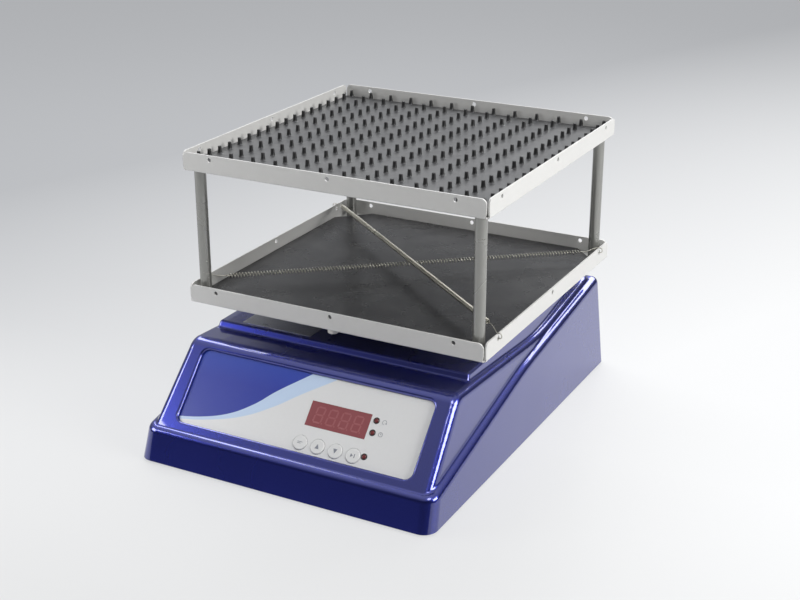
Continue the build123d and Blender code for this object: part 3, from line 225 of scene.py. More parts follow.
def addBump(tree, shader, height, look):
    inputs = {"Height": height, "Strength": look["bump"], "Distance": look["depth"] * mm}
    tree.links.new(addNode(tree, "Bump", inputs).outputs[0], shader.inputs["Normal"])


def makeFinish(name, look):
    look = {**plainLook, **look}
    material, tree, shader, place = startMaterial(name, look)
    grain = useGroup(tree, look["pattern"], Vector=place, Size=look["grain"])
    smudge = useGroup(tree, "softSmudge", Vector=place, Size=look["smudge"])
    wear = useGroup(tree, "edgeWear", Vector=place, Width=look["wearWidth"] * mm, Amount=look["wear"])
    dust = useGroup(tree, "dustFall", Vector=place, Amount=look["dust"])
    colour = blendColour(tree, grain["Shade"], look["colour"], look["shade"])
    colour = blendColour(tree, wear["Mask"], colour, look.get("bare", look["colour"]))
    colour = blendColour(tree, dust["Mask"], colour, look["dustColour"])
    # painted shade: above the given heights the colour is blended into a darker colour
    if "paintedShadeAbove" in look:
        start, end = (z * mm for z in look["paintedShadeAbove"])
        paintedShadeMask = remap(tree, axisOf(tree, place, "Z"), start, end)
        colour = blendColour(tree, paintedShadeMask, colour, look["paintedShadeColour"])
    tree.links.new(colour, shader.inputs["Base Color"])
    rough = remap(tree, smudge["Mask"], 0.0, 1.0, *look["rough"])
    dull = calc(tree, "MULTIPLY", dust["Mask"], look["dustRough"])
    tree.links.new(calc(tree, "ADD", rough, dull, clamp=True), shader.inputs["Roughness"])
    addBump(tree, shader, grain["Height"], look)
    return material


# Finishes of the record's material slots; the last four are for single pieces and nodes
finishes = {
    "key_white": {
        "colour": (0.74, 0.74, 0.735), "shade": (0.70, 0.70, 0.70), "rough": (0.24, 0.36),
        "grain": 0.25, "coat": 0.3,
    },
    "lamp_red": {
        "colour": (0.16, 0.012, 0.012), "shade": (0.1, 0.006, 0.008), "rough": (0.08, 0.16),
        "grain": 0.4, "bump": 0.05, "coat": 0.6,
    },
    "silver_plate": {
        "colour": (0.62, 0.63, 0.65), "shade": (0.42, 0.43, 0.45), "rough": (0.26, 0.36),
        "grain": 0.12, "metallic": 0.9, "pattern": "brushLines",
    },
    "black_plastic": {
        "colour": (0.022, 0.022, 0.024), "shade": (0.012, 0.012, 0.013), "rough": (0.34, 0.48),
        "grain": 0.3, "bump": 0.6,
    },
    "board_green": {
        "colour": (0.02, 0.13, 0.05), "shade": (0.012, 0.09, 0.035), "rough": (0.3, 0.4),
        "grain": 0.8,
    },
    "brass": {
        "colour": (0.62, 0.45, 0.17), "shade": (0.5, 0.35, 0.12), "rough": (0.25, 0.36),
        "grain": 0.1, "metallic": 1.0, "pattern": "brushLines",
    },
    "steel": {
        "colour": (0.62, 0.62, 0.63), "shade": (0.42, 0.42, 0.43), "rough": (0.22, 0.36),
        "grain": 0.12, "metallic": 1.0, "pattern": "brushLines",
        "wear": 0.5, "bare": (0.8, 0.8, 0.8),
    },
    "polished_steel": {
        "colour": (0.68, 0.68, 0.7), "shade": (0.55, 0.55, 0.57), "rough": (0.1, 0.18),
        "grain": 0.08, "metallic": 1.0, "pattern": "brushLines",
    },
    "zinc_steel": {
        "colour": (0.58, 0.6, 0.62), "shade": (0.44, 0.46, 0.49), "rough": (0.3, 0.46),
        "grain": 6.0, "metallic": 0.9, "bump": 0.15,
    },
    "rubber_black": {
        "colour": (0.015, 0.015, 0.017), "shade": (0.023, 0.023, 0.025), "rough": (0.24, 0.32),
        "grain": 0.5, "bump": 0.5, "specular": 0.28, "dust": 0.04,
    },
    "rubber_grey": {
        "colour": (0.050, 0.050, 0.052), "shade": (0.070, 0.071, 0.074), "rough": (0.34, 0.44),
        "grain": 0.45, "bump": 0.5, "wear": 0.25, "bare": (0.09, 0.09, 0.095),
        "paintedShadeAbove": (254.4, 255.2), "paintedShadeColour": (0.012, 0.012, 0.013),  # painted shade: the pegs above the sheet are painted darker than the sheet of the same rubber, whose top shows a sheen
    },
    "aluminium": {
        "colour": (0.7, 0.7, 0.72), "shade": (0.56, 0.56, 0.58), "rough": (0.28, 0.4),
        "grain": 0.25, "metallic": 1.0, "pattern": "brushLines",
    },
    "motor_black": {
        "colour": (0.03, 0.03, 0.033), "shade": (0.02, 0.02, 0.022), "rough": (0.35, 0.5),
        "grain": 0.5, "wear": 0.4, "bare": (0.3, 0.3, 0.3),
    },
    "tray_paint": {
        "colour": (0.64, 0.635, 0.62), "shade": (0.61, 0.605, 0.59), "rough": (0.3, 0.4),
        "grain": 0.55, "bump": 0.25, "depth": 0.02, "wear": 0.35, "bare": (0.78, 0.78, 0.76),
        "dust": 0.03, "coat": 0.15, "coatRough": 0.2,
    },
    "pad_white": {
        "colour": (0.72, 0.7, 0.65), "shade": (0.66, 0.64, 0.6), "rough": (0.35, 0.5),
        "grain": 0.3,
    },
    "spring_steel": {
        "colour": (0.52, 0.505, 0.45), "shade": (0.36, 0.35, 0.30), "rough": (0.26, 0.36),
        "grain": 0.2, "metallic": 0.9, "bump": 0.2,
    },
    "black_panel": {
        "colour": (0.025, 0.025, 0.028), "shade": (0.016, 0.016, 0.018), "rough": (0.36, 0.5),
        "grain": 0.6, "bump": 0.5, "wear": 0.3, "bare": (0.22, 0.22, 0.23),
    },
    "rocker_black": {
        "colour": (0.02, 0.02, 0.022), "shade": (0.014, 0.014, 0.015), "rough": (0.2, 0.3),
        "grain": 0.3, "coat": 0.3,
    },
    "window_red": {
        "colour": (0.27, 0.060, 0.068), "shade": (0.24, 0.052, 0.06), "rough": (0.16, 0.24),
        "grain": 0.8, "bump": 0.05, "coat": 0.5,
    },
    "digit_red": {
        "colour": (0.34, 0.105, 0.11), "shade": (0.31, 0.09, 0.10), "rough": (0.2, 0.3),
        "grain": 0.6, "bump": 0.05,
    },
    "print_ink": {
        "colour": (0.23, 0.24, 0.28), "shade": (0.2, 0.21, 0.25), "rough": (0.35, 0.45),
        "grain": 0.2, "bump": 0.1,
    },
    "print_white": {
        "colour": (0.62, 0.62, 0.6), "shade": (0.56, 0.56, 0.54), "rough": (0.35, 0.45),
        "grain": 0.2, "bump": 0.1,
    },
    "post_satin": {
        "colour": (0.31, 0.31, 0.295), "shade": (0.29, 0.29, 0.275), "rough": (0.26, 0.3),
        "grain": 0.4, "bump": 0.04, "metallic": 0.6, "coat": 0.2,
    },
}
materials = {name: makeFinish(name, look) for name, look in finishes.items()}


# Deep blue lacquer with fine flake under a clear coat
housingLook = {
    "colour": (0.018, 0.026, 0.25),
    "flake": (0.024, 0.034, 0.29), "flakeSize": 0.5, "flakeHeight": (0.55, 0.95),
    "deep": (0.014, 0.021, 0.21), "deepSize": 80.0, "deepShare": 0.12,
    "metallic": 0.9, "coat": 1.0, "coatIor": 1.8, "coatRough": 0.03, "rough": (0.26, 0.30),
    "bump": 0.05, "depth": 0.005, "dust": 0.015, "dustColour": (0.5, 0.5, 0.52),
}


def makeHousingPaint(look):
    look = {**plainLook, **look}
    material, tree, shader, place = startMaterial("housing_blue", look)
    flake = useGroup(tree, "fineGrain", Vector=place, Size=look["flakeSize"])
    slow = useGroup(tree, "softSmudge", Vector=place, Size=look["deepSize"])
    dust = useGroup(tree, "dustFall", Vector=place, Amount=look["dust"])
    shown = remap(tree, flake["Height"], *look["flakeHeight"])
    deep = calc(tree, "MULTIPLY", slow["Mask"], look["deepShare"])
    colour = blendColour(tree, shown, look["colour"], look["flake"])
    colour = blendColour(tree, deep, colour, look["deep"])
    colour = blendColour(tree, dust["Mask"], colour, look["dustColour"])
    tree.links.new(colour, shader.inputs["Base Color"])
    tree.links.new(remap(tree, slow["Mask"], 0.0, 1.0, *look["rough"]), shader.inputs["Roughness"])
    addBump(tree, shader, flake["Height"], look)
    return material


materials["housing_blue"] = makeHousingPaint(housingLook)


# Printed film of the panel: a blue field, a pale band along its edge and light grey. The field is painted
# lighter up the slope and the band lighter towards the right, as painted light.
# Its edges are given in panel millimetres, across from the middle and up the slope.
panel = {
    "origin": Vector((0.0, -155.05, 62.15)) * mm,
    "angle": math.radians(47.1),
    "fieldEdge": [
        (-119.0, -30.3), (-96.6, -26.1), (-72.9, -18.3), (-51.6, -5.3),
        (-32.4, 12.4), (-12.7, 28.2), (2.0, 39.5),
    ],
    "bandEdge": [
        (-119.0, -33.0), (-85.6, -26.5), (-57.3, -17.2), (-31.5, -2.8),
        (-7.5, 15.0), (16.7, 31.7), (28.0, 39.5),
    ],
    "curveAcross": (-120.0, 40.0), "curveUp": (-40.0, 40.0), "softEdge": 0.1,
    "field": (0.008, 0.026, 0.31), "fieldEnd": (6.0, 4.0),
    "fieldPaintedHighlight": (0.014, 0.048, 0.38), "fieldHighlightUp": (12.0, 36.0),
    "band": (0.50, 0.62, 0.80), "bandEnd": (33.0, 31.0),
    "bandPaintedLight": 1.06, "bandPaintedLightAcross": (-100.0, 20.0),
    "ground": (0.74, 0.74, 0.74), "groundShade": 0.96,
    "coat": 0.25, "coatRough": 0.25, "rough": (0.32, 0.42), "grain": 0.3, "smudge": 35.0,
    "bump": 0.12, "depth": 0.02, "dust": 0.03, "dustColour": (0.6, 0.6, 0.6),
}
panelUp = Vector((0.0, math.cos(panel["angle"]), math.sin(panel["angle"])))
panelOut = Vector((0.0, -math.sin(panel["angle"]), math.cos(panel["angle"])))


def panelPoint(x, up, out=0.0):
    return panel["origin"] + Vector((x * mm, 0.0, 0.0)) + panelUp * (up * mm) + panelOut * (out * mm)


def overEdge(tree, across, up, points):
    # 1 above a printed edge and 0 below it, the edge's height being a curve of the place across
    left, right = panel["curveAcross"]
    low, high = panel["curveUp"]
    curve = addNode(tree, "FloatCurve", {"Value": remap(tree, across, left * mm, right * mm)})
    line = curve.mapping.curves[0]
    while len(line.points) < len(points):
        line.points.new(0.5, 0.5)
    for point, (x, y) in zip(line.points, points):
        point.location = ((x - left) / (right - left), (y - low) / (high - low))
    curve.mapping.update()
    edge = remap(tree, curve.outputs[0], 0.0, 1.0, low * mm, high * mm)
    soft = panel["softEdge"] * mm
    return remap(tree, calc(tree, "SUBTRACT", up, edge), -soft, soft)


def makePanelFilm(look):
    look = {**plainLook, **look}

    def ranged(value, key):
        return remap(tree, value, *(end * mm for end in look[key]))

    material, tree, shader, place = startMaterial("overlay_grey", look)
    inputs = {0: place, 1: tuple(look["origin"])}
    moved = addNode(tree, "VectorMath", inputs, operation="SUBTRACT").outputs[0]
    across = axisOf(tree, moved, "X")
    up = dotWith(tree, moved, tuple(panelUp))
    overField = overEdge(tree, across, up, look["fieldEdge"])
    overBand = overEdge(tree, across, up, look["bandEdge"])
    inField = calc(tree, "MULTIPLY", overField, ranged(across, "fieldEnd"))
    inBand = calc(tree, "MULTIPLY", overBand, ranged(across, "bandEnd"))
    ink = useGroup(tree, "fineGrain", Vector=place, Size=look["grain"])
    slow = useGroup(tree, "softSmudge", Vector=place, Size=look["smudge"])
    dust = useGroup(tree, "dustFall", Vector=place, Amount=look["dust"])
    groundShade = tuple(c * look["groundShade"] for c in look["ground"])
    bandPaintedLight = tuple(c * look["bandPaintedLight"] for c in look["band"])
    ground = blendColour(tree, ink["Shade"], look["ground"], groundShade)
    # painted highlight: the blue field goes lighter up the slope
    field = blendColour(tree, ranged(up, "fieldHighlightUp"), look["field"], look["fieldPaintedHighlight"])
    # painted light: the pale band goes lighter towards the right
    band = blendColour(tree, ranged(across, "bandPaintedLightAcross"), look["band"], bandPaintedLight)
    colour = blendColour(tree, inBand, ground, band)
    colour = blendColour(tree, inField, colour, field)
    colour = blendColour(tree, dust["Mask"], colour, look["dustColour"])
    tree.links.new(colour, shader.inputs["Base Color"])
    tree.links.new(remap(tree, slow["Mask"], 0.0, 1.0, *look["rough"]), shader.inputs["Roughness"])
    addBump(tree, shader, ink["Height"], look)
    return material


materials["overlay_grey"] = makePanelFilm(panel)

ownFinish = {"posts": "post_satin"}  # a node that doesn't take the finish of its slot
for name, node in nodes.items():
    slotName = node.material_slots[0].material.name.split(".")[0]
    finish = materials.get(ownFinish.get(name, slotName))
    if finish is None:
        print("no finish for", name, slotName)
        continue
    for materialSlot in node.material_slots:
        materialSlot.material = finish
print("finishes made:", len(materials))


# Helpers for pieces

def meshFrom(name, build):
    mesh = bpy.data.meshes.new(name)
    work = bmesh.new()
    build(work)
    bmesh.ops.recalc_face_normals(work, faces=work.faces)
    work.to_mesh(mesh)
    work.free()
    return mesh


def makePiece(name, build, body, slotName, finish=None, smooth=True, replaced=()):
    mesh = meshFrom(name, build)
    piece = bpy.data.objects.new(name, mesh)
    scene.collection.objects.link(piece)
    mesh.materials.append(materials[finish or slotName])
    for face in mesh.polygons:
        face.use_smooth = smooth
    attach(piece, body)
    if replaced:
        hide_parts(*replaced)
    return piece


def circlePoints(sides):
    turns = [2 * math.pi * k / sides for k in range(sides)]
    return [(math.cos(turn), math.sin(turn)) for turn in turns]


def ringOutline(x, up, radius, sides):
    return [(x + radius * c, up + radius * s) for c, s in circlePoints(sides)]


def joinRings(work, rings):
    for a, b in zip(rings, rings[1:]):
        for k in range(len(a)):
            j = (k + 1) % len(a)
            work.faces.new((a[k], a[j], b[j], b[k]))


def tubeAlong(work, points, radius, sides):
    # a round tube on a polyline, its ring carried along without twist, closed at both ends
    circle = circlePoints(sides)
    rings = []
    heading = (points[1] - points[0]).normalized()
    side = heading.orthogonal().normalized()
    for i, point in enumerate(points):
        before = points[max(i - 1, 0)]
        after = points[min(i + 1, len(points) - 1)]
        heading = (after - before).normalized()
        side = (side - heading * side.dot(heading)).normalized()
        other = heading.cross(side)
        rings.append([work.verts.new(point + (side * c + other * s) * radius) for c, s in circle])
    joinRings(work, rings)
    work.faces.new(rings[0][::-1])
    work.faces.new(rings[-1])


def slab(work, corners, low, high):
    # a thin flat piece on the panel, from its outline in panel millimetres
    bottom = [work.verts.new(panelPoint(x, up, low)) for x, up in corners]
    top = [work.verts.new(panelPoint(x, up, high)) for x, up in corners]
    work.faces.new(top)
    work.faces.new(bottom[::-1])
    joinRings(work, [bottom, top])


def strokeLine(work, points, width, low, high):
    # a printed line on the panel along some points
    for (x0, y0), (x1, y1) in zip(points, points[1:]):
        run = Vector((x1 - x0, y1 - y0)).normalized() * (width / 2)
        side = Vector((-run.y, run.x))
        a, b = Vector((x0, y0)) - run, Vector((x1, y1)) + run
        slab(work, [tuple(a - side), tuple(b - side), tuple(b + side), tuple(a + side)], low, high)


def ripple(share, wave):
    # a factor that swings down from 1 by up to twice the share
    return 1.0 - share + share * wave


# Rubber mat with its pegs, on the upper tray
pegMat = {
    "columns": 13, "rows": 18, "pitchX": 23.6, "pitchY": 16.33, "firstY": -93.8,
    "sheet": 3.6, "cells": (90, 84), "crowding": 1.25,  # the cells crowd towards the front edge
    "curl": 2.6, "curlDepth": 9.0, "curlRipple": 0.28,
    "slowRipple": 0.2, "slowX": (31.0, 1.1), "slowY": (43.0, 0.4),  # radians per metre, and the start
    "cornerLift": 5.6, "cornerReach": 50.0, "cornerSlim": 1.25, "cornerPower": 1.5,
    "sideLift": 2.4, "sideReach": 38.0, "sharpAngle": 50.0,
    "lean": 0.02, "seed": 7, "sides": 14, "sunk": 0.1, "heightShare": 0.99,
    # a peg's outline: its radius and height, from the foot to the tip
    "profile": [
        (3.1, 0.0), (2.5, 0.27), (2.2, 0.86), (1.95, 2.5),
        (1.68, 5.95), (1.6, 6.8), (1.5, 7.08), (1.3, 7.2),
    ],
}


def buildPegMat(work):
    low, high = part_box("peg_mat")
    rng = random.Random(pegMat["seed"])
    floor = low.z
    top = floor + pegMat["sheet"] * mm
    wide, deep = pegMat["cells"]
    middleColumn = (pegMat["columns"] - 1) / 2

    def frontCurl(x, y):
        # the front edge stands up a little between the pegs of the first row
        reach = max(0.0, 1.0 - (y - low.y) / (pegMat["curlDepth"] * mm))
        between = math.cos(2 * math.pi * x / (pegMat["pitchX"] * mm) + math.pi)
        waves = ripple(pegMat["curlRipple"], between)
        rate, start = pegMat["slowX"]
        slow = ripple(pegMat["slowRipple"], math.sin(x * rate + start))
        corner = max(0.0, 1.0 - (x - low.x) / (pegMat["cornerReach"] * mm))
        return pegMat["curl"] * mm * reach * reach * waves * slow * (1.0 - corner)

    def lift(x, y):
        # the left front corner and the right side have lifted off the tray, pegs and all
        slim = pegMat["cornerSlim"]
        away = math.hypot((x - low.x) * slim, y - low.y) / (pegMat["cornerReach"] * mm)
        side = max(0.0, 1.0 - (high.x - x) / (pegMat["sideReach"] * mm))
        rise = pegMat["cornerLift"] * max(0.0, 1.0 - away) ** pegMat["cornerPower"]
        rate, start = pegMat["slowY"]
        slow = ripple(pegMat["slowRipple"], math.sin(y * rate + start))
        return mm * (rise + pegMat["sideLift"] * side ** 2 * slow)

    grid = {}
    for side, z in (("top", top), ("low", floor)):
        for i in range(wide + 1):
            for j in range(deep + 1):
                y = low.y + (high.y - low.y) * ((j / deep) ** pegMat["crowding"])
                x = low.x + (high.x - low.x) * i / wide
                grid[side, i, j] = work.verts.new((x, y, z + frontCurl(x, y) + lift(x, y)))
    for i in range(wide):
        for j in range(deep):
            quad = [(i, j), (i + 1, j), (i + 1, j + 1), (i, j + 1)]
            work.faces.new([grid["top", a, b] for a, b in quad])
            work.faces.new([grid["low", a, b] for a, b in quad[::-1]])
    rim = [(i, 0) for i in range(wide)] + [(wide, j) for j in range(deep)]
    rim += [(i, deep) for i in range(wide, 0, -1)] + [(0, j) for j in range(deep, 0, -1)]
    for (a, b), (c, d) in zip(rim, rim[1:] + rim[:1]):
        work.faces.new((grid["low", a, b], grid["low", c, d], grid["top", c, d], grid["top", a, b]))
    circle = [Vector((c, s, 0.0)) for c, s in circlePoints(pegMat["sides"])]
    for column in range(pegMat["columns"]):
        for row in range(pegMat["rows"]):
            x = (column - middleColumn) * pegMat["pitchX"] * mm
            y = (pegMat["firstY"] + row * pegMat["pitchY"]) * mm
            leanX = rng.uniform(-pegMat["lean"], pegMat["lean"])
            leanY = rng.uniform(-pegMat["lean"], pegMat["lean"])
            rings = []
            for radius, z in pegMat["profile"]:
                height = top - pegMat["sunk"] * mm + z * mm * pegMat["heightShare"] + lift(x, y)
                middle = Vector((x + leanX * z * mm, y + leanY * z * mm, height))
                rings.append([work.verts.new(middle + spoke * radius * mm) for spoke in circle])
            joinRings(work, rings)
            work.faces.new(rings[-1])


pegMatPiece = makePiece(
    "rubberPegMat", buildPegMat, "platform", "rubber_grey", replaced=("peg_mat",)
)
pegMatPiece.data.set_sharp_from_angle(angle=math.radians(pegMat["sharpAngle"]))
print("peg mat made")


# Flat rubber mat on the lower tray
shelfMat = {
    "cut": 30.0, "thick": 2.85, "cells": 60,
    "edge": 0.5, "edgeSegments": 3, "edgeAngle": 50.0,
    # a slow dip of the top: two waves crossing, and half a wave on the slant, in radians a millimetre
    "dip": 0.12, "dipMean": 0.75, "dipSwing": 0.5,
    "waveX": 0.031, "waveY": 0.027, "waveStart": 0.6, "slantWave": 0.043, "slant": 1.7,
}


def buildShelfMat(work):
    low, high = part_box("lower_mat")
    cells = shelfMat["cells"]
    cut = shelfMat["cut"] * mm
    bmesh.ops.create_grid(work, x_segments=cells, y_segments=cells, size=0.5)
    size = high - low
    middle = (low + high) / 2
    for vert in work.verts:
        vert.co = Vector((middle.x + vert.co.x * size.x, middle.y + vert.co.y * size.y, high.z))
    for sx in (-1, 1):
        for sy in (-1, 1):
            corner = Vector((middle.x + sx * size.x / 2, middle.y + sy * size.y / 2 - sy * cut, high.z))
            normal = Vector((sx, sy, 0)).normalized()
            parts = work.verts[:] + work.edges[:] + work.faces[:]
            bmesh.ops.bisect_plane(work, geom=parts, plane_co=corner, plane_no=normal, clear_outer=True)
    for vert in work.verts:
        x, y = vert.co.x * 1000, vert.co.y * 1000
        wave = math.sin(x * shelfMat["waveX"] + shelfMat["waveStart"]) * math.cos(y * shelfMat["waveY"])
        wave += 0.5 * math.sin((x + shelfMat["slant"] * y) * shelfMat["slantWave"])
        dip = shelfMat["dipMean"] + shelfMat["dipSwing"] * wave
        vert.co.z = high.z - shelfMat["dip"] * mm * dip


shelfMatPiece = makePiece(
    "rubberShelfMat", buildShelfMat, "platform", "rubber_black", replaced=("lower_mat",)
)
if sum(f.normal.z for f in shelfMatPiece.data.polygons) < 0:
    shelfMatPiece.data.flip_normals()
thick = shelfMatPiece.modifiers.new("thickness", "SOLIDIFY")
thick.thickness = shelfMat["thick"] * mm
thick.offset = -1.0
rounded = shelfMatPiece.modifiers.new("roundEdges", "BEVEL")
rounded.width = shelfMat["edge"] * mm
rounded.segments = shelfMat["edgeSegments"]
rounded.limit_method = "ANGLE"
rounded.angle_limit = math.radians(shelfMat["edgeAngle"])
rounded.harden_normals = False
print("shelf mat made")


# Two extension springs, hooked through the tray's side flanges and crossing over the mat.
# lean is 1 from the left front to the right rear, and -1 from the left rear to the right front.
springs = {
    "wire": 0.9, "coil": 4.8, "lead": 20.0, "sides": 8, "perTurn": 14, "endShare": 0.15,
    "half": 151.5, "middleY": 41.0, "holeY": 121.5, "holeZ": 134.2, "inner": 148.5,
    "hookRadius": 2.55, "hookRise": 0.6, "hookSteps": 11,
    "shank": 2.0, "runIn": 4.0, "runSteps": 8,
}
closeSpring = {"lean": -1, "axisZ": 142.2, "pitch": 1.25, "bow": 0.5}
openSpring = {"lean": 1, "axisZ": 136.2, "pitch": 2.9, "bow": -0.4}


def springEnd(spring, sign, middle, side, goal):
    # from the hole in the flange, round the hook and in to where the coil starts
    hookX = springs["half"] + springs["hookRise"]
    hook = springs["hookRadius"]
    holeZ = springs["holeZ"]
    y = middle.y + sign * spring["lean"] * springs["holeY"]
    route = [Vector((sign * springs["inner"], y, holeZ)), Vector((sign * hookX, y, holeZ))]
    for k in range(1, springs["hookSteps"]):
        turn = math.pi * k / springs["hookSteps"]
        x = sign * (hookX + hook * math.sin(turn))
        route.append(Vector((x, y, holeZ + hook - hook * math.cos(turn))))
    route.append(Vector((sign * hookX, y, holeZ + 2 * hook)))
    start = Vector((sign * (hookX - springs["shank"]), y, holeZ + 2 * hook))
    for k in range(springs["runSteps"] + 1):
        t = k / springs["runSteps"]
        ease = t * t * (3 - 2 * t)
        point = start.lerp(goal, t)
        point.z = start.z + (goal.z - start.z) * ease
        point += side * (math.sin(math.pi * t) * spring["bow"])
        route.append(point)
    return route


def springPath(spring):
    half = Vector((springs["half"], spring["lean"] * springs["holeY"], 0.0))
    along = half.normalized()
    side = Vector((-along.y, along.x, 0.0))
    up = Vector((0, 0, 1))
    middle = Vector((0.0, springs["middleY"], spring["axisZ"]))
    coilHalf = half.length - springs["lead"]
    radius = (springs["coil"] - springs["wire"]) / 2
    perTurn = springs["perTurn"]
    steps = round(2 * coilHalf / spring["pitch"]) * perTurn
    ends = []
    for sign in (-1, 1):
        goal = middle + along * (sign * (coilHalf + springs["runIn"]))
        ends.append(springEnd(spring, sign, middle, side, goal))
    coil = []
    for k in range(steps + 1):
        turn = 2 * math.pi * k / perTurn
        travel = -coilHalf + 2 * coilHalf * k / steps
        grown = min(1.0, k / perTurn, (steps - k) / perTurn)
        reach = springs["endShare"] + (1.0 - springs["endShare"]) * grown
        off = side * (radius * reach * math.cos(turn)) + up * (radius * reach * math.sin(turn))
        coil.append(middle + along * travel + off)
    return [point * mm for point in ends[0] + coil + ends[1][::-1]]


def buildSpring(spring):
    def build(work):
        tubeAlong(work, springPath(spring), springs["wire"] / 2 * mm, springs["sides"])
    return build


for name, spring, node in (
    ("closeSpring", closeSpring, "spring_upper"), ("openSpring", openSpring, "spring_lower"),
):
    makePiece(name, buildSpring(spring), "platform", "spring_steel", replaced=(node,))
print("springs made")


# Marks on the panel: unlit digits, key signs, lamp rings and lamp signs
digits = {
    "count": 4, "middleX": 35.3, "middleUp": 0.85, "pitch": 12.6, "wide": 7.6, "high": 14.0,
    "stroke": 1.5, "slant": 0.09, "gap": 0.25, "under": -0.3, "over": 0.015,
    "dotOut": 0.8, "dotDown": 0.1, "dotRadius": 0.7, "dotSides": 12,
}


def segmentOutlines():
    w, h, s, g = digits["wide"] / 2, digits["high"] / 2, digits["stroke"] / 2, digits["gap"]

    def flat(y):
        a, b = -w + g, w - g
        return [(a, y), (a + s, y + s), (b - s, y + s), (b, y), (b - s, y - s), (a + s, y - s)]

    def upright(x, y0, y1):
        a, b = y0 + g, y1 - g
        return [(x, a), (x + s, a + s), (x + s, b - s), (x, b), (x - s, b - s), (x - s, a + s)]

    shapes = [flat(h), flat(0.0), flat(-h)]
    for x in (-w, w):
        shapes += [upright(x, 0.0, h), upright(x, -h, 0.0)]
    return shapes


def buildDigits(work):
    up = digits["middleUp"]
    dotUp = up - digits["high"] / 2 - digits["dotDown"]
    for k in range(digits["count"]):
        middle = digits["middleX"] + (k - (digits["count"] - 1) / 2) * digits["pitch"]
        dotX = middle + digits["wide"] / 2 + digits["dotOut"]
        shapes = [
            [(middle + x + digits["slant"] * y, up + y) for x, y in outline]
            for outline in segmentOutlines()
        ]
        shapes.append(ringOutline(dotX, dotUp, digits["dotRadius"], digits["dotSides"]))
        for shape in shapes:
            slab(work, shape, digits["under"], digits["over"])


makePiece("displayDigits", buildDigits, "base", "window_red", "digit_red", smooth=False)

keys = {"pitch": 17.6, "firstX": 7.6, "up": -26.8, "rise": 0.9, "under": -0.2, "over": 0.012}
keySigns = {
    "select": [
        [(-2.5, 0.9), (-2.5, 0.35), (2.5, 0.35), (2.5, 0.9)],
        [(-2.5, -0.35), (-2.5, -0.9), (1.0, -0.9), (1.0, -0.35)],
    ],
    "up": [[(-2.0, -2.0), (2.0, -2.0), (0.0, 2.5)]],
    "down": [[(-2.0, 2.0), (0.0, -2.5), (2.0, 2.0)]],
    "start": [
        [(-2.25, 1.75), (-2.25, -1.75), (0.25, 0.0)],
        [(1.125, 1.75), (1.125, -1.75), (2.0, -1.75), (2.0, 1.75)],
    ],
}


def buildKeySign(outlines, middle):
    def build(work):
        for outline in outlines:
            corners = [(middle + x, keys["up"] + y) for x, y in outline]
            slab(work, corners, keys["rise"] + keys["under"], keys["rise"] + keys["over"])
    return build


for k, (kind, outlines) in enumerate(keySigns.items()):
    sign = buildKeySign(outlines, keys["firstX"] + k * keys["pitch"])
    makePiece("keySign_" + kind, sign, kind + "_key", "overlay_grey", "print_ink", smooth=False)

lampRings = {
    "spots": [(70.6, 7.8), (70.6, -3.3), (70.6, -25.2)], "sides": 32,
    # radius and height over the panel
    "profile": [(2.12, 0.0), (2.12, 0.28), (2.27, 0.35), (2.75, 0.35), (2.95, 0.21), (2.95, 0.0)],
}


def buildLampRings(work):
    for x, up in lampRings["spots"]:
        rings = []
        for radius, out in lampRings["profile"]:
            outline = ringOutline(x, up, radius, lampRings["sides"])
            rings.append([work.verts.new(panelPoint(px, py, out)) for px, py in outline])
        joinRings(work, rings + rings[:1])


makePiece("lampRings", buildLampRings, "base", "black_plastic")

# Beside the upper lamp a turning arrow, beside the lower one a clock face
lampSigns = {
    "x": 78.4, "arrowUp": 7.8, "clockUp": -3.3, "radius": 1.9, "step": 0.25,
    "arrowArc": (-2, 19), "arrowHead": [(0.57, -1.2), (2.565, -1.4), (1.615, -0.1)],
    "clockArc": (0, 26), "hands": [(0.0, 1.1), (0.0, 0.0), (0.9, 0.0)],
    "line": 0.4, "under": -0.05, "over": 0.012, "second": 0.0125,
}


def buildLampSigns(work):
    x, radius = lampSigns["x"], lampSigns["radius"]
    line, under, second = lampSigns["line"], lampSigns["under"], lampSigns["second"]

    def drawArc(up, steps):
        turns = [k * lampSigns["step"] for k in range(*steps)]
        curve = [(x + radius * math.cos(turn), up + radius * math.sin(turn)) for turn in turns]
        strokeLine(work, curve, line, under, lampSigns["over"])

    up = lampSigns["arrowUp"]
    drawArc(up, lampSigns["arrowArc"])
    slab(work, [(x + px, up + py) for px, py in lampSigns["arrowHead"]], under, second)
    up = lampSigns["clockUp"]
    drawArc(up, lampSigns["clockArc"])
    strokeLine(work, [(x + px, up + py) for px, py in lampSigns["hands"]], line, under, second)


makePiece("lampSigns", buildLampSigns, "base", "overlay_grey", "print_ink", smooth=False)
print("panel marks made")


# On and off marks on the rocker, one on each of its two faces
rockerMarks = {
    "apart": 4.6, "away": 20.0, "bar": (0.7, 3.0), "ring": 1.55, "line": 0.55, "sides": 28,
    "under": -0.05, "over": 0.02,
}


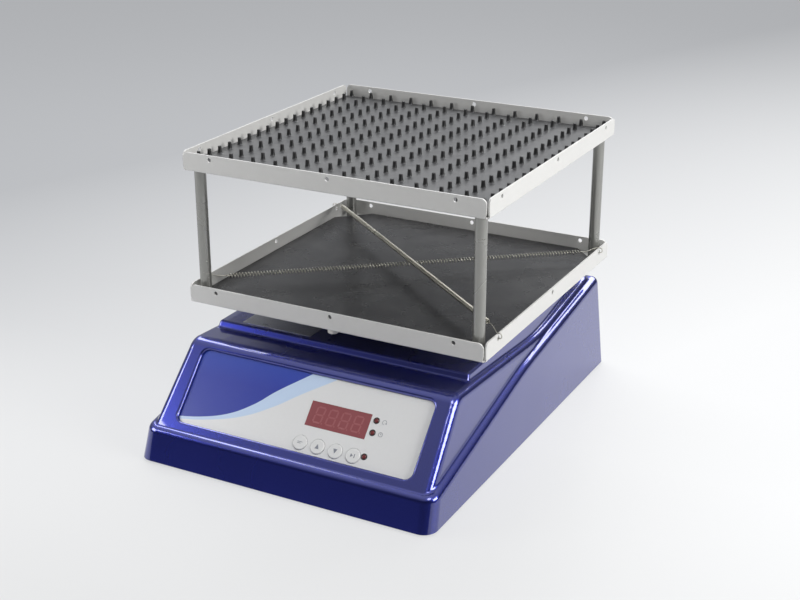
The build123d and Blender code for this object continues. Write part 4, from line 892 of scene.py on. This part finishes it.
def buildRockerMarks(work):
    rocker = nodes["power_rocker"]
    low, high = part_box("power_rocker")
    middle = (low + high) / 2
    right = Vector((-1.0, 0.0, 0.0))
    under, over = rockerMarks["under"], rockerMarks["over"]
    wide, tall = rockerMarks["bar"]
    bar = [(-wide / 2, -tall / 2), (wide / 2, -tall / 2), (wide / 2, tall / 2), (-wide / 2, tall / 2)]
    outer = ringOutline(0.0, 0.0, rockerMarks["ring"], rockerMarks["sides"])
    inner = ringOutline(0.0, 0.0, rockerMarks["ring"] - rockerMarks["line"], rockerMarks["sides"])
    levels = {
        1: [(bar, under), (bar, over)],
        -1: [(inner, under), (inner, over), (outer, over), (outer, under)],
    }
    for sign in (1, -1):
        # the face under the mark is found from behind the rocker
        startY = high.y + rockerMarks["away"] * mm
        start = Vector((middle.x, startY, middle.z + sign * rockerMarks["apart"] * mm))
        spot, normal = rocker.ray_cast(start, Vector((0.0, -1.0, 0.0)))[1:3]
        upward = normal.cross(right).normalized()
        if upward.z < 0:
            upward = -upward
        rings = [
            [work.verts.new(spot + (right * x + upward * y) * mm + normal * (out * mm)) for x, y in shape]
            for shape, out in levels[sign]
        ]
        if sign > 0:
            work.faces.new(rings[0][::-1])
            work.faces.new(rings[1])
        else:
            rings.append(rings[0])
        joinRings(work, rings)


makePiece("rockerMarks", buildRockerMarks, "rocker", "rocker_black", "print_white", smooth=False)
print("rocker marks made")


# Pale paper floor with painted light: its tone is painted lighter near the object and darker to the left
# and a little to the front, where less light falls
floorLook = {
    "near": (0.95, 0.955, 0.96), "far": (0.53, 0.54, 0.56),
    "side": (-0.93, 0.37, 0.0), "sideReach": (-0.1, 0.9), "front": 0.87, "frontReach": (0.0, -0.4),
    "lit": 0.66, "shown": 0.66, "rough": 0.4, "specular": 0.3,
    "grain": 1.5, "grainShare": 0.03, "grainColour": (0.7, 0.7, 0.7),
    "sides": 48, "rings": [0.4, 0.9, 2.0, 4.0, 8.0, 16.0, 28.0],
}


def buildFloor(work):
    # a flat round floor, wide enough for the views from low down
    sides = floorLook["sides"]
    circle = circlePoints(sides)
    centre = work.verts.new((0, 0, 0))
    rings = []
    for radius in floorLook["rings"]:
        rings.append([work.verts.new((radius * c, radius * s, 0.0)) for c, s in circle])
    for k in range(sides):
        work.faces.new((centre, rings[0][k], rings[0][(k + 1) % sides]))
    for a, b in zip(rings, rings[1:]):
        for k in range(sides):
            j = (k + 1) % sides
            work.faces.new((a[k], b[k], b[j], a[j]))


def makeFloorPaint(look):
    # part of the painted tone glows without light for camera, glossy and transmission rays, so that the
    # shadow stays faint
    look = {**plainLook, **look}
    material, tree, shader, place = startMaterial("studio_floor", look)
    left = dotWith(tree, place, look["side"])
    paper = useGroup(tree, "fineGrain", Vector=place, Size=look["grain"])
    # painted light: the tone falls from near to far towards the left, and darkens towards the front
    tone = blendColour(tree, remap(tree, left, *look["sideReach"]), look["near"], look["far"])
    ahead = remap(tree, axisOf(tree, place, "Y"), *look["frontReach"])
    tone = blendColour(tree, ahead, tone, tuple(c * look["front"] for c in look["near"]))
    lit = blendColour(tree, 1.0, tone, (look["lit"],) * 3, "MULTIPLY")
    grain = calc(tree, "MULTIPLY", paper["Shade"], look["grainShare"])
    lit = blendColour(tree, grain, lit, look["grainColour"])
    tree.links.new(lit, shader.inputs["Base Color"])
    shader.inputs["Roughness"].default_value = look["rough"]
    shown = addNode(tree, "Emission", {"Color": tone, "Strength": 1.0})
    path = addNode(tree, "LightPath").outputs
    seen = calc(tree, "ADD", path["Is Camera Ray"], path["Is Glossy Ray"], clamp=True)
    seen = calc(tree, "ADD", seen, path["Is Transmission Ray"], clamp=True)
    both = addNode(tree, "MixShader", {0: calc(tree, "MULTIPLY", seen, look["shown"])})
    tree.links.new(shader.outputs[0], both.inputs[1])
    tree.links.new(shown.outputs[0], both.inputs[2])
    tree.links.new(both.outputs[0], tree.nodes["Material Output"].inputs["Surface"])
    return material


floorMesh = meshFrom("studioFloor", buildFloor)
floor = bpy.data.objects.new("studioFloor", floorMesh)
scene.collection.objects.link(floor)
floorMesh.materials.append(makeFloorPaint(floorLook))
if floorMesh.polygons[0].normal.z < 0:
    floorMesh.flip_normals()


# Soft lamps: place and target in metres, size as width and depth, power in watts
lights = {
    "keyRight": {
        "place": (1.5, -0.05, 0.8), "target": (0.0, 0.0, 0.15), "size": (0.9, 0.7),
        "power": 19, "colour": (1.0, 0.995, 0.98),
    },
    "topRear": {
        "place": (-0.72, 0.75, 1.4), "target": (0.0, -0.1, 0.1), "size": (1.3, 0.75),
        "power": 16, "colour": (0.98, 0.99, 1.0),
    },
    "stripRear": {
        "place": (0.22, 1.35, 1.02), "target": (0.0, 0.0, 0.1), "size": (1.1, 0.42),
        "power": 9, "colour": (0.98, 0.99, 1.0),
    },
    "topFront": {
        "place": (0.75, -0.75, 1.7), "target": (0.0, 0.0, 0.1), "size": (0.6, 0.6),
        "power": 7, "colour": (1.0, 1.0, 1.0),
    },
    "fillLeft": {
        "place": (-0.62, -0.48, 0.36), "target": (-0.15, -0.11, 0.18), "size": (0.3, 0.3),
        "power": 1.9, "colour": (1.0, 1.0, 1.0),
    },
}


def softLamp(name, look):
    light = bpy.data.lights.new(name, "AREA")
    light.shape = "RECTANGLE"
    light.size, light.size_y = look["size"]
    light.energy = look["power"]
    light.color = look["colour"]
    lamp = bpy.data.objects.new(name, light)
    lamp.location = look["place"]
    heading = Vector(look["target"]) - Vector(look["place"])
    lamp.rotation_euler = heading.to_track_quat("-Z", "Y").to_euler()
    scene.collection.objects.link(lamp)


for name, look in lights.items():
    softLamp(name, look)

# Air of the studio: bright above and behind, dark where the room lies in front
air = {
    "towards": (-0.2, 0.3, 0.93), "from": 0.25, "to": 0.95, "dim": 0.04, "bright": 0.85,
    "colour": (0.95, 0.97, 1.0),
}
world = bpy.data.worlds.new("studioAir")
world.use_nodes = True
scene.world = world
airTree = world.node_tree
facing = dotWith(airTree, addNode(airTree, "TexCoord").outputs["Generated"], air["towards"])
strength = remap(airTree, facing, air["from"], air["to"], air["dim"], air["bright"])
airNode = airTree.nodes["Background"]
airNode.inputs["Color"].default_value = (*air["colour"], 1.0)
airTree.links.new(strength, airNode.inputs["Strength"])

# Camera at the photograph's viewing angle
photoCamera = {
    "place": (0.5990, -1.1034, 0.6169), "turn": (68.12, 0.02, 27.93),
    "lens": 64.0, "sensor": 36.0, "farEnd": 60.0,
}
cameraData = bpy.data.cameras.new("photoCamera")
cameraData.lens = photoCamera["lens"]
cameraData.sensor_width = photoCamera["sensor"]
cameraData.clip_end = photoCamera["farEnd"]
camera = bpy.data.objects.new("photoCamera", cameraData)
camera.location = photoCamera["place"]
camera.rotation_euler = [math.radians(angle) for angle in photoCamera["turn"]]
scene.collection.objects.link(camera)
scene.camera = camera
scene.view_settings.view_transform = "Standard"
print("stage, light and camera made")
